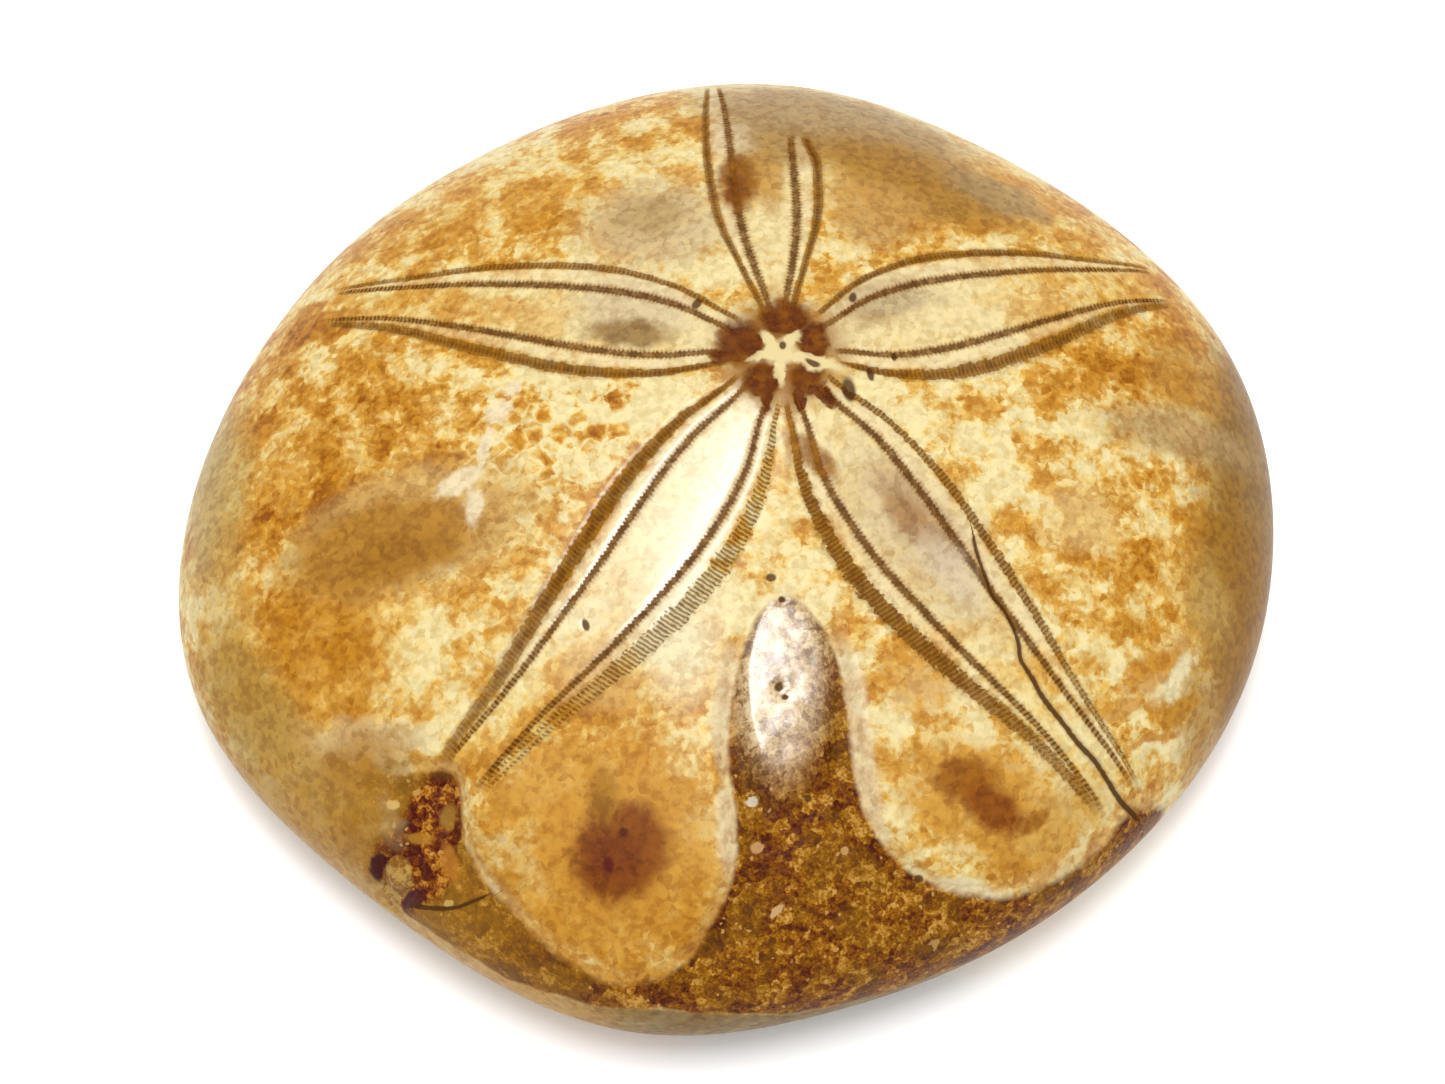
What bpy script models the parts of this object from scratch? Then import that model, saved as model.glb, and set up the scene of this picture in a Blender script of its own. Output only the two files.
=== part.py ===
"""Polished fossil sea urchin: one solid stone, lying on the flat ring of its underside.

The form is a low dome over a rounded margin. Five petals spread from a crown that stands off
centre, each drawn by two pairs of shallow pore grooves. At the front the shell ends in two
rounded lobes, and the rough filling of the shell lies bare and lower around and between them.
"""
import math

import bmesh
import bpy
from mathutils import Vector, noise
from mathutils.geometry import delaunay_2d_cdt

MM = 0.001  # every size below is in millimetres

# --- the form -----------------------------------------------------------------------------
HEIGHT = 19.0
MARGIN_HEIGHT = 5.5  # level of the widest outline
CROWN = (3.0, 4.8)  # plan position of the highest point
# How far the margin reaches from the middle, every 20 degrees from +X towards +Y.
REACH = (32.4, 33.1, 31.4, 30.4, 31.4, 30.7, 29.9, 30.5, 31.0,
         32.4, 33.4, 30.7, 30.5, 32.0, 30.0, 30.0, 30.4, 31.7)
FOOT_OUTER = 0.80  # the flat resting ring, in shares of the outline
FOOT_INNER = 0.66
BASE_HOLLOW = 1.6  # depth of the hollow inside the ring

# --- the five petals ----------------------------------------------------------------------
PETAL_START = 4.2  # distance from the crown to where the broad grooves begin
INNER_START = 5.6
STATIONS = (0.0, 0.12, 0.25, 0.42, 0.65, 0.85, 1.0)  # shares of a petal's length
LEAF_WIDTH = (0.20, 0.45, 0.83, 1.0, 0.83, 0.53, 0.40)  # shares of its half width
OPEN_WIDTH = (0.10, 0.26, 0.55, 0.89, 1.0, 0.95, 0.86)  # the rear petal hardly closes
INNER_SHARE = (0.45, 0.50, 0.60, 0.58, 0.56, 0.62, 0.75)  # inner grooves, of the outer ones
# azimuth in degrees, length, half width, sideways bow, lean of the tip, width profile
PETALS = (
    (20.0, 23.9, 4.05, -0.4, 0.3, LEAF_WIDTH),
    (93.5, 23.2, 3.25, 0.1, 0.1, OPEN_WIDTH),
    (166.8, 27.2, 3.60, 0.0, -0.6, LEAF_WIDTH),
    (-127.6, 29.5, 3.75, 1.6, 0.5, LEAF_WIDTH),
    (-51.9, 30.0, 3.85, -1.6, 0.1, LEAF_WIDTH),
)
OUTER_GROOVE = (0.42, 0.30)  # half width and depth of the broad ribbed groove
INNER_GROOVE = (0.24, 0.20)
INNER_END = 0.80  # the inner groove runs into the outer one here, as a share of the length
GROOVE_STEP = 1.15  # spacing of points along a groove

# --- the crown ----------------------------------------------------------------------------
POCKET_DISTANCE = 2.35  # one dark pocket at the root of each petal
POCKET_RADII = (1.20, 0.95)  # along the petal and across it
POCKET_DEPTH = 0.35
POCKET_FLOOR = 0.6  # the flat floor, as a share of the radii

# --- the broken front ---------------------------------------------------------------------
# The edge of the shell in plan, from the left margin round both lobes to the right margin.
SHELL_EDGE = (
    (-29.0, -13.0), (-24.5, -15.6), (-20.5, -17.7), (-17.2, -18.1), (-15.3, -19.2), (-14.9, -22.0),
    (-13.7, -25.0), (-11.2, -27.4), (-7.8, -29.1), (-4.3, -29.7), (-1.8, -28.2), (-0.2, -25.8),
    (0.4, -22.8), (-0.1, -19.0), (0.1, -15.5), (1.1, -12.3), (3.1, -10.4), (4.9, -11.5),
    (6.1, -13.6), (6.8, -17.0), (7.4, -20.5), (8.7, -23.2), (11.2, -24.7), (14.4, -24.7),
    (18.0, -23.1), (21.2, -20.6), (24.0, -18.4), (29.0, -16.5),
)
LEDGE_DROP = 0.60  # how far the bare filling lies below the shell
LEDGE_WIDTH = 0.9  # width of the bevelled border of the shell
GUTTER_DEPTH = 0.30  # the groove at the foot of the ledge
GUTTER_HALF_WIDTH = 0.8
FILLING_LUMPS = 0.28  # height of the lumps in the filling
TONGUE = (2.9, -15.5, 2.0, 6.5)  # centre and radii of the smooth ridge between the lobes
TONGUE_RISE = 0.45
EDGE_STEP = 0.9
EDGE_END = 0.975  # the drawn lines of the edge stop at this share of the outline

# --- the underside ------------------------------------------------------------------------
MOUTH = (1.0, 1.5)
MOUTH_RADIUS = 2.8
MOUTH_FLOOR = 1.7
MOUTH_DEPTH = 1.3
FURROW_LENGTH = 13.0  # five shallow furrows run out from the mouth
FURROW_DEPTH = 0.45
FURROW_HALF_WIDTH = 1.5
VENT = (1.2, -17.2)  # the oval opening behind the mouth
VENT_RADII = (1.5, 2.1)
VENT_DEPTH = 0.7
VENT_FLOOR = 0.5

# --- how finely it is drawn ---------------------------------------------------------------
AROUND = 120  # points round the margin
UPPER_RINGS = (9.0, 4.5, 0.0)  # degrees above the margin
LOWER_RINGS = (16.0, 33.0, 51.0, 70.0, 90.0)  # degrees below it; the last lies on the ground
TOP_SPACING = 1.9
FILLING_SPACING = 1.4
BASE_SPACING = 3.0
MEAN_REACH = 31.0  # a round figure for the spacing of rings
CLEARANCE = 0.45  # a free point keeps this share of the spacing to every drawn line
MERGE = 0.12  # points nearer to each other than this are one


def blend(low, high, value):
    """0 below low, 1 above high, and a smooth rise between them."""
    share = min(max((value - low) / (high - low), 0.0), 1.0)
    return share * share * (3.0 - 2.0 * share)


def bump(distance, half_width):
    """1 in the middle of a groove or pit and 0 from its edge outwards."""
    return 1.0 - blend(0.0, half_width, abs(distance))


def reach(angle):
    """Distance from the middle to the margin: a closed cubic spline through REACH."""
    place = angle / math.tau * len(REACH)
    first = math.floor(place)
    t = place - first
    weights = ((1 - t) ** 3, 3 * t**3 - 6 * t**2 + 4, -3 * t**3 + 3 * t**2 + 3 * t + 1, t**3)
    total = sum(w * REACH[(first + k - 1) % len(REACH)] for k, w in enumerate(weights))
    return total / 6.0


def along(places, values, place):
    """The value at a place on a smooth curve through (places, values)."""
    last = len(places) - 1
    place = min(max(place, places[0]), places[last])
    k = next(i for i in range(last) if place <= places[i + 1])

    def slope(i):
        low, high = max(i - 1, 0), min(i + 1, last)
        return (values[high] - values[low]) / (places[high] - places[low])

    width = places[k + 1] - places[k]
    t = (place - places[k]) / width
    return (values[k] * (1 + 2 * t) * (1 - t) ** 2 + values[k + 1] * t * t * (3 - 2 * t)
            + width * (slope(k) * t * (1 - t) ** 2 - slope(k + 1) * t * t * (1 - t)))


def smooth_line(points, step):
    """Points about one step apart on a smooth curve through the given points."""
    lengths = [0.0]
    for a, b in zip(points, points[1:]):
        lengths.append(lengths[-1] + math.dist(a, b))
    count = round(lengths[-1] / step)
    columns = list(zip(*points))
    return [tuple(along(lengths, column, lengths[-1] * i / count) for column in columns)
            for i in range(count + 1)]


def scaled_outline(share, centre=(0.0, 0.0)):
    """The outline shrunk towards a centre, as AROUND plan points."""
    points = []
    for i in range(AROUND):
        angle = math.tau * i / AROUND
        radius = reach(angle)
        points.append((centre[0] + (radius * math.cos(angle) - centre[0]) * share,
                       centre[1] + (radius * math.sin(angle) - centre[1]) * share))
    return points


def outline_place(x, y, centre):
    """Size and angle at which the outline, shrunk towards the centre, passes through (x, y)."""
    share = 1.0
    for _ in range(10):
        dx, dy = x - centre[0] * (1 - share), y - centre[1] * (1 - share)
        share = math.hypot(dx, dy) / reach(math.atan2(dy, dx))
    return share, math.atan2(dy, dx)


def outline_share(x, y, centre):
    return outline_place(x, y, centre)[0]


def dome(angle, latitude):
    """A point of the smooth upper surface: latitude is 0 at the margin, 90 degrees at the crown."""
    share = math.cos(latitude)
    x, y = reach(angle) * math.cos(angle), reach(angle) * math.sin(angle)
    return Vector((CROWN[0] + (x - CROWN[0]) * share, CROWN[1] + (y - CROWN[1]) * share,
                   MARGIN_HEIGHT + (HEIGHT - MARGIN_HEIGHT) * math.sin(latitude)))


# --- petals -------------------------------------------------------------------------------
def petal_middle(petal, s):
    """Sideways place of a petal's middle line at the distance s from the crown."""
    length, bow, lean = petal[1], petal[3], petal[4]
    share = s / length
    return bow * math.sin(math.pi * share) + lean * share * share


def petal_outer(petal, s):
    return petal[2] * along(STATIONS, petal[5], s / petal[1])


def petal_inner(petal, s):
    return petal_outer(petal, s) * along(STATIONS, INNER_SHARE, s / petal[1])


def petal_point(petal, s, t):
    """Plan position of the point s out from the crown and t to the left of the petal's axis."""
    azimuth = math.radians(petal[0])
    return (CROWN[0] + s * math.cos(azimuth) - t * math.sin(azimuth),
            CROWN[1] + s * math.sin(azimuth) + t * math.cos(azimuth))


def petal_place(petal, x, y):
    """The inverse of petal_point."""
    azimuth = math.radians(petal[0])
    dx, dy = x - CROWN[0], y - CROWN[1]
    return (dx * math.cos(azimuth) + dy * math.sin(azimuth),
            dy * math.cos(azimuth) - dx * math.sin(azimuth))


# How each groove runs, its half width and depth, and where it starts and ends.
GROOVES = ((petal_outer, *OUTER_GROOVE, PETAL_START, 1.0),
           (petal_inner, *INNER_GROOVE, INNER_START, INNER_END))


def petal_relief(x, y):
    """Depth of the pore grooves, which fade at both ends."""
    deepest = 0.0
    for petal in PETALS:
        s, t = petal_place(petal, x, y)
        for off_middle, half_width, depth, start, end in GROOVES:
            stop = petal[1] * end
            if start < s < stop:
                ends = blend(start, start + 1.0, s) * (1.0 - blend(stop - 1.5, stop, s))
                off_line = abs(t - petal_middle(petal, s)) - off_middle(petal, s)
                deepest = max(deepest, depth * ends * bump(off_line, half_width))
    return -deepest


def petal_lines():
    """The bottom and both edges of every pore groove."""
    lines = []
    for petal in PETALS:
        for off_middle, half_width, _, start, end in GROOVES:
            stop = petal[1] * end
            count = round((stop - start) / GROOVE_STEP)
            for side in (-1, 1):
                for shift in (-half_width, 0.0, half_width):
                    line = []
                    for i in range(count + 1):
                        s = start + (stop - start) * i / count
                        t = petal_middle(petal, s) + side * (off_middle(petal, s) + shift)
                        line.append(petal_point(petal, s, t))
                    lines.append(line)
    return lines


# --- crown --------------------------------------------------------------------------------
def ring(centre, radii, turn, count):
    """An ellipse as plan points, its first radius along the direction turn."""
    points = []
    for i in range(count):
        a, b = (radii[0] * math.cos(math.tau * i / count), radii[1] * math.sin(math.tau * i / count))
        points.append((centre[0] + a * math.cos(turn) - b * math.sin(turn),
                       centre[1] + a * math.sin(turn) + b * math.cos(turn)))
    return points


def crown_pockets():
    """Centre and direction of the pocket at each petal's root."""
    return [(petal_point(petal, POCKET_DISTANCE, 0.0), math.radians(petal[0])) for petal in PETALS]


def crown_relief(x, y):
    """Depth of the pockets round the crown: a flat floor and sloping sides."""
    depth = 0.0
    for centre, turn in crown_pockets():
        dx, dy = x - centre[0], y - centre[1]
        a = (dx * math.cos(turn) + dy * math.sin(turn)) / POCKET_RADII[0]
        b = (dy * math.cos(turn) - dx * math.sin(turn)) / POCKET_RADII[1]
        depth = max(depth, POCKET_DEPTH * (1.0 - blend(POCKET_FLOOR, 1.0, math.hypot(a, b))))
    return -depth


def crown_lines():
    """The rim and the floor of every pocket, as closed lines."""
    lines = []
    for centre, turn in crown_pockets():
        for share in (1.0, POCKET_FLOOR):
            radii = (POCKET_RADII[0] * share, POCKET_RADII[1] * share)
            lines.append(ring(centre, radii, turn, 10))
    return [line + line[:1] for line in lines]


# --- broken front -------------------------------------------------------------------------
EDGE_LINE = smooth_line(SHELL_EDGE, EDGE_STEP)


def edge_distance(x, y):
    """Distance to the shell's edge, positive on the bare filling in front of it."""
    nearest, side = 1e9, 1.0
    for (ax, ay), (bx, by) in zip(EDGE_LINE, EDGE_LINE[1:]):
        ux, uy = bx - ax, by - ay
        t = min(max(((x - ax) * ux + (y - ay) * uy) / (ux * ux + uy * uy), 0.0), 1.0)
        dx, dy = x - ax - ux * t, y - ay - uy * t
        distance = math.hypot(dx, dy)
        if distance < nearest - 1e-9:
            nearest, side = distance, ux * dy - uy * dx
    return -math.copysign(nearest, side)


def tongue_share(x, y):
    """1 on the middle of the ridge between the lobes, 0 outside it."""
    cx, cy, rx, ry = TONGUE
    return 1.0 - blend(0.35, 1.0, math.hypot((x - cx) / rx, (y - cy) / ry))


def front_relief(x, y):
    """How far the bare filling lies below the shell, with its gutter, ridge and lumps."""
    distance = edge_distance(x, y)
    ledge = blend(-LEDGE_WIDTH, 0.0, distance)
    if ledge == 0.0:
        return 0.0
    gutter = GUTTER_DEPTH * bump(distance - GUTTER_HALF_WIDTH, GUTTER_HALF_WIDTH)
    tongue = tongue_share(x, y)
    lumps = noise.noise(Vector((x, y, 0.0)) * 0.55) + 0.6 * noise.noise(Vector((x, y, 7.0)) * 1.3)
    rough = FILLING_LUMPS * lumps * blend(0.3, 1.5, distance) * (1.0 - tongue)
    drop = LEDGE_DROP * ledge + gutter - TONGUE_RISE * tongue - rough
    return -drop * (1.0 - blend(0.90, 1.0, outline_share(x, y, CROWN)))


def offset_line(line, distance):
    """The line moved to its left, without the points that would come too near it."""
    moved = []
    for i, (x, y) in enumerate(line):
        (ax, ay), (bx, by) = line[max(i - 1, 0)], line[min(i + 1, len(line) - 1)]
        length = math.hypot(bx - ax, by - ay)
        point = (x - (by - ay) / length * distance, y + (bx - ax) / length * distance)
        if all(math.dist(point, other) > abs(distance) * 0.93 for other in line):
            moved.append(point)
    return moved


def edge_lines():
    """The top and the foot of the ledge and the bottom of its gutter."""
    lines = []
    for distance in (LEDGE_WIDTH, 0.0, -GUTTER_HALF_WIDTH):
        line = offset_line(EDGE_LINE, distance) if distance else EDGE_LINE
        run = []
        for point in line:
            if outline_share(*point, CROWN) < EDGE_END:
                run.append(point)
            elif run:
                lines.append(run)
                run = []
    return lines


# --- underside ----------------------------------------------------------------------------
FURROW_TURNS = [math.radians(petal[0]) for petal in PETALS]  # the furrows lie under the petals


def base_height(x, y):
    """Height of the underside: flat ring, hollow middle, mouth, furrows and vent."""
    hollow = 1.0 - blend(0.0, FOOT_INNER, outline_share(x, y, (0.0, 0.0)))
    height = BASE_HOLLOW * hollow
    dx, dy = x - MOUTH[0], y - MOUTH[1]
    away = math.hypot(dx, dy)
    height += MOUTH_DEPTH * (1.0 - blend(MOUTH_FLOOR, MOUTH_RADIUS, away))
    for turn in FURROW_TURNS:
        s = dx * math.cos(turn) + dy * math.sin(turn)
        t = dy * math.cos(turn) - dx * math.sin(turn)
        reach_out = blend(1.0, MOUTH_RADIUS, s) * (1.0 - blend(MOUTH_RADIUS, FURROW_LENGTH, s))
        height += FURROW_DEPTH * bump(t, FURROW_HALF_WIDTH) * reach_out
    oval = math.hypot((x - VENT[0]) / VENT_RADII[0], (y - VENT[1]) / VENT_RADII[1])
    height += VENT_DEPTH * (1.0 - blend(VENT_FLOOR, 1.0, oval))
    return height


def base_lines():
    lines = [ring(MOUTH, (MOUTH_RADIUS, MOUTH_RADIUS), 0.0, 15),
             ring(MOUTH, (MOUTH_FLOOR, MOUTH_FLOOR), 0.0, 10),
             ring(VENT, VENT_RADII, 0.0, 12),
             ring(VENT, (VENT_RADII[0] * VENT_FLOOR, VENT_RADII[1] * VENT_FLOOR), 0.0, 8),
             scaled_outline(FOOT_INNER)]
    lines = [line + line[:1] for line in lines]
    for turn in FURROW_TURNS:
        for shift in (-FURROW_HALF_WIDTH, 0.0, FURROW_HALF_WIDTH):
            start, stop = MOUTH_RADIUS + 1.0, FURROW_LENGTH - abs(shift)
            line = []
            for i in range(6):
                s = start + (stop - start) * i / 5
                line.append((MOUTH[0] + s * math.cos(turn) - shift * math.sin(turn),
                             MOUTH[1] + s * math.sin(turn) + shift * math.cos(turn)))
            lines.append(line)
    return lines


# --- meshes -------------------------------------------------------------------------------
def top_shares(spacing):
    """Sizes of rings that lie one spacing apart on the slope of the dome."""
    latitude = math.radians(UPPER_RINGS[0])
    shares = []
    while True:
        inward = MEAN_REACH * math.sin(latitude)
        upward = (HEIGHT - MARGIN_HEIGHT) * math.cos(latitude)
        latitude += spacing / math.hypot(inward, upward)
        if latitude > math.pi / 2:
            return shares
        shares.append(math.cos(latitude))


def base_shares(spacing):
    """Sizes of evenly spaced rings on the flat underside."""
    count = round(MEAN_REACH * FOOT_OUTER / spacing)
    return [FOOT_OUTER * (count - k) / count for k in range(1, count)]


def free_points(shares, centre, spacing, drawn, wanted):
    """Points in shrinking copies of the outline, clear of the drawn lines."""
    points = []
    for k, share in enumerate(shares):
        count = max(6, round(math.tau * MEAN_REACH * share / spacing))
        for i in range(count):
            angle = math.tau * (i + 0.5 * (k % 2)) / count
            radius = reach(angle)
            x = centre[0] + (radius * math.cos(angle) - centre[0]) * share
            y = centre[1] + (radius * math.sin(angle) - centre[1]) * share
            clear = all(math.dist((x, y), other) > spacing * CLEARANCE for other in drawn)
            if clear and wanted(x, y):
                points.append((x, y))
    return points


def plan_triangles(border, lines, loose):
    """A triangle mesh in plan that fills the border and keeps every line as edges."""
    points = list(border)
    edges = []
    for line in lines:
        first = len(points)
        points.extend(line)
        edges.extend((first + i, first + i + 1) for i in range(len(line) - 1))
    points.extend(loose)
    flat = [Vector(point) for point in points]
    result = delaunay_2d_cdt(flat, edges, [list(range(len(border)))], 1, 1e-3)
    return [tuple(point) for point in result[0]], result[2]


def upper_point(x, y):
    """The point of the upper surface over (x, y), moved along the dome's normal by the relief."""
    share, angle = outline_place(x, y, CROWN)
    latitude = math.acos(min(share, 1.0))
    step = 0.001
    round_it = dome(angle + step, latitude) - dome(angle - step, latitude)
    up_it = dome(angle, latitude + step) - dome(angle, latitude - step)
    relief = petal_relief(x, y) + crown_relief(x, y) + front_relief(x, y)
    return dome(angle, latitude) + round_it.cross(up_it).normalized() * relief


def upper_sheet():
    border = scaled_outline(math.cos(math.radians(UPPER_RINGS[0])), CROWN)
    lines = petal_lines() + crown_lines() + edge_lines()
    drawn = [point for line in lines for point in line]

    def on_shell(x, y):
        return edge_distance(x, y) < 0.0

    def on_filling(x, y):
        return edge_distance(x, y) > 0.0

    loose = free_points(top_shares(TOP_SPACING), CROWN, TOP_SPACING, drawn, on_shell)
    loose += free_points(top_shares(FILLING_SPACING), CROWN, FILLING_SPACING, drawn, on_filling)
    plan, faces = plan_triangles(border, lines, loose)
    return [upper_point(x, y) for x, y in plan], faces


def lower_sheet():
    border = scaled_outline(FOOT_OUTER)
    lines = base_lines()
    drawn = [point for line in lines for point in line]
    shares = base_shares(BASE_SPACING)
    loose = free_points(shares, (0.0, 0.0), BASE_SPACING, drawn, lambda x, y: True)
    plan, faces = plan_triangles(border, lines, loose)
    return [Vector((x, y, base_height(x, y))) for x, y in plan], faces


def margin_rings():
    """Rings from the edge of the upper sheet round the margin down to the ground."""
    rings = []
    for degrees in UPPER_RINGS:
        share = math.cos(math.radians(degrees))
        rings.append([upper_point(x, y) for x, y in scaled_outline(share, CROWN)])
    for degrees in LOWER_RINGS:
        angle = math.radians(degrees)
        share = FOOT_OUTER + (1.0 - FOOT_OUTER) * math.cos(angle)
        height = MARGIN_HEIGHT * (1.0 - math.sin(angle))
        rings.append([Vector((x, y, height)) for x, y in scaled_outline(share)])
    return rings


def build_stone():
    """One closed mesh: upper sheet, margin and underside, joined where they meet."""
    mesh = bmesh.new()
    for points, faces in (upper_sheet(), lower_sheet()):
        verts = [mesh.verts.new(point * MM) for point in points]
        for face in faces:
            mesh.faces.new([verts[i] for i in face])
    rings = [[mesh.verts.new(point * MM) for point in row] for row in margin_rings()]
    for upper, lower in zip(rings, rings[1:]):
        for i in range(AROUND):
            j = (i + 1) % AROUND
            mesh.faces.new((upper[i], lower[i], lower[j], upper[j]))
    bmesh.ops.remove_doubles(mesh, verts=mesh.verts, dist=MERGE * MM)
    bmesh.ops.triangulate(mesh, faces=mesh.faces)
    bmesh.ops.recalc_face_normals(mesh, faces=mesh.faces)
    return mesh


def stone_material():
    material = bpy.data.materials.new("polished_calcite")
    material.use_nodes = True
    shader = material.node_tree.nodes["Principled BSDF"]
    shader.inputs["Base Color"].default_value = (0.66, 0.43, 0.17, 1.0)
    shader.inputs["Roughness"].default_value = 0.28
    shader.inputs["Metallic"].default_value = 0.0
    return material


def main():
    for thing in list(bpy.data.objects):
        bpy.data.objects.remove(thing, do_unlink=True)
    data = bpy.data.meshes.new("sea_urchin")
    mesh = build_stone()
    mesh.to_mesh(data)
    mesh.free()
    data.shade_smooth()
    data.materials.append(stone_material())
    stone = bpy.data.objects.new("sea_urchin", data)
    bpy.context.collection.objects.link(stone)


main()
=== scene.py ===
"""Polished fossil sea urchin: the looks, round the fixed frame."""
import math
from typing import NamedTuple

import bpy
import numpy as np
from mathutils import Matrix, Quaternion, Vector


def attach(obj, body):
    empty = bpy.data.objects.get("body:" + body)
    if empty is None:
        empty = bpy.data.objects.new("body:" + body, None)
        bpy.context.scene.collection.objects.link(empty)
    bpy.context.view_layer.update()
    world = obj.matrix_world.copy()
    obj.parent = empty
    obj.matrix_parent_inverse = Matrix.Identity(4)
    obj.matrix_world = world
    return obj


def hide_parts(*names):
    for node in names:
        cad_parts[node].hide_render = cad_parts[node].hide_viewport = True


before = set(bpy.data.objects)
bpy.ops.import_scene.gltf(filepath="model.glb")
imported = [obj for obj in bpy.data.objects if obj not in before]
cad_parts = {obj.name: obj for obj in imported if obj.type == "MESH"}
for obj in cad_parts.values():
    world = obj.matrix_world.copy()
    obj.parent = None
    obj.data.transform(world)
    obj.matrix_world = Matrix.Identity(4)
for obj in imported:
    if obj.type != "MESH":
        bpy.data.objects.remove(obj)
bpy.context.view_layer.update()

MM = 0.001  # every size below is in millimetres

# --- the form -----------------------------------------------------------------------------
HEIGHT = 19.0
MARGIN_HEIGHT = 5.5
CROWN = (3.0, 4.8)  # plan position of the highest point
# How far the margin reaches from the middle, every 20 degrees from +X towards +Y.
REACH = (32.4, 33.1, 31.4, 30.4, 31.4, 30.7, 29.9, 30.5, 31.0,
         32.4, 33.4, 30.7, 30.5, 32.0, 30.0, 30.0, 30.4, 31.7)
FOOT_OUTER = 0.80  # the flat resting ring, in shares of the outline
FOOT_INNER = 0.66
BASE_HOLLOW = 1.6

# --- the five petals ----------------------------------------------------------------------
STATIONS = (0.0, 0.12, 0.25, 0.42, 0.65, 0.85, 1.0)  # shares of a petal's length
LEAF_WIDTH = (0.20, 0.45, 0.83, 1.0, 0.83, 0.53, 0.40)  # shares of its half width
OPEN_WIDTH = (0.10, 0.26, 0.55, 0.89, 1.0, 0.95, 0.86)
INNER_SHARE = (0.45, 0.50, 0.60, 0.58, 0.56, 0.62, 0.75)
BAND_WIDTH = (0.13, 0.16, 0.31, 0.47, 0.46, 0.36, 0.25)  # half width of the outer pore band
LINE_WIDTH = (0.12, 0.14, 0.18, 0.20, 0.18, 0.14, 0.11)  # half width of the inner pore line


class Side(NamedTuple):
    """One edge of a petal: its band's width, tint between the ribs, ribs, and where it ends."""
    width: float
    ink: float
    ribs: float
    end: float = 1.0


class Petal(NamedTuple):
    """Left and right are as seen when looking outwards from the crown."""
    azimuth: float
    length: float
    half_width: float
    bow: float  # sideways bow of its middle
    lean: float  # and sideways lean of its tip
    profile: tuple
    cream: float  # how much paler than the shell it is between its lines
    left: Side
    right: Side


PETALS = (
    Petal(20.0, 23.9, 4.05, -0.4, 0.3, LEAF_WIDTH, 0.55,
          Side(0.55, 0.80, 0.25), Side(0.90, 0.85, 0.45)),
    Petal(93.5, 23.2, 3.25, 0.1, 0.1, OPEN_WIDTH, 0.45,
          Side(0.50, 0.75, 0.0), Side(0.55, 0.75, 0.0, 0.72)),
    Petal(166.8, 27.2, 3.60, 0.0, -0.6, LEAF_WIDTH, 0.45,
          Side(0.75, 0.85, 0.25), Side(0.50, 0.70, 0.50)),
    Petal(-127.6, 29.5, 3.75, 1.6, 0.5, LEAF_WIDTH, 0.55,
          Side(1.15, 0.20, 1.0), Side(1.0, 0.85, 0.25)),
    Petal(-51.9, 30.0, 3.85, -1.6, 0.1, LEAF_WIDTH, 0.30,
          Side(0.50, 0.65, 1.0), Side(1.0, 0.90, 0.85)),
)
PETAL_START = 2.9  # where the pore lines leave the pockets round the crown
SHORT_END_CLOSE = 0.35  # a side that ends early draws in by this share, over this run
SHORT_END_RUN = 0.12
BAND_DEPTH = 0.14
LINE_DEPTH = 0.09
RIB_PITCH = 0.25

# --- the crown ----------------------------------------------------------------------------
# Five dark pockets leave a pale star between them. Each is a group of rounds: x, y, radii, turn.
POCKETS = (
    (3.15, 7.10, 1.40, 1.20, 0), (0.60, 5.45, 1.35, 1.45, 0), (-0.30, 4.55, 0.80, 0.50, 10),
    (1.80, 2.85, 1.05, 1.05, 0), (2.15, 1.80, 0.35, 0.90, 0), (4.50, 2.95, 0.95, 1.10, 10),
    (5.35, 1.95, 1.10, 0.38, -54), (3.98, 1.85, 0.36, 1.05, 0), (4.80, 5.60, 0.88, 1.25, 8),
)
POCKET_DEPTH = 0.30
# x, y, radii, turn and depth of single small pits
PITS = (
    (4.75, 4.05, 0.46, 0.16, -25, 0.15), (6.78, 2.35, 0.80, 0.38, 98, 0.25),
    (8.02, 3.40, 0.48, 0.19, 100, 0.20), (3.05, 5.15, 0.20, 0.26, 0, 0.12),
    (2.30, -9.20, 0.30, 0.24, 0, 0.12), (2.90, -10.40, 0.20, 0.20, 0, 0.12),
    (2.72, -15.25, 0.24, 0.26, 0, 0.15), (3.05, -15.80, 0.20, 0.16, 0, 0.12),
    (-7.95, -11.60, 0.20, 0.36, 20, 0.10), (10.45, -24.25, 0.26, 0.16, 0, 0.15),
    (4.30, -20.85, 0.22, 0.20, 0, 0.15), (-1.85, 8.10, 0.42, 0.26, 60, 0.10),
    (7.10, 8.55, 0.36, 0.22, 80, 0.08), (9.40, 4.60, 0.16, 0.30, 0, 0.08),
)

# --- the broken front ---------------------------------------------------------------------
# The edge of the shell in plan, from the left margin round both lobes to the right margin.
SHELL_EDGE = (
    (-29.0, -14.5), (-24.8, -16.8), (-20.8, -18.0), (-18.6, -18.6), (-15.6, -18.8), (-15.1, -20.2),
    (-14.9, -22.2), (-14.0, -24.2), (-12.4, -25.8), (-10.6, -27.5), (-8.4, -28.9), (-6.0, -29.8),
    (-3.6, -29.6), (-1.9, -28.7), (-0.6, -26.8), (0.3, -25.0), (0.4, -22.4), (0.0, -19.4),
    (0.1, -16.2), (0.9, -13.0), (1.9, -11.0), (3.1, -10.3), (4.6, -11.2), (5.9, -13.4),
    (6.6, -16.6), (7.1, -20.4), (8.3, -22.9), (10.2, -24.4), (12.6, -25.0), (15.6, -24.6),
    (18.6, -23.1), (21.0, -21.2), (22.6, -19.4), (24.6, -18.2), (29.0, -16.5),
)
LEDGE_DROP = 0.60
LEDGE_WIDTH = 0.9
GUTTER_DEPTH = 0.30
GUTTER_HALF_WIDTH = 0.8
TONGUE = (3.1, -15.2, 3.2, 6.8)  # centre and radii of the smooth ridge between the lobes
TONGUE_RISE = 0.55
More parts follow.
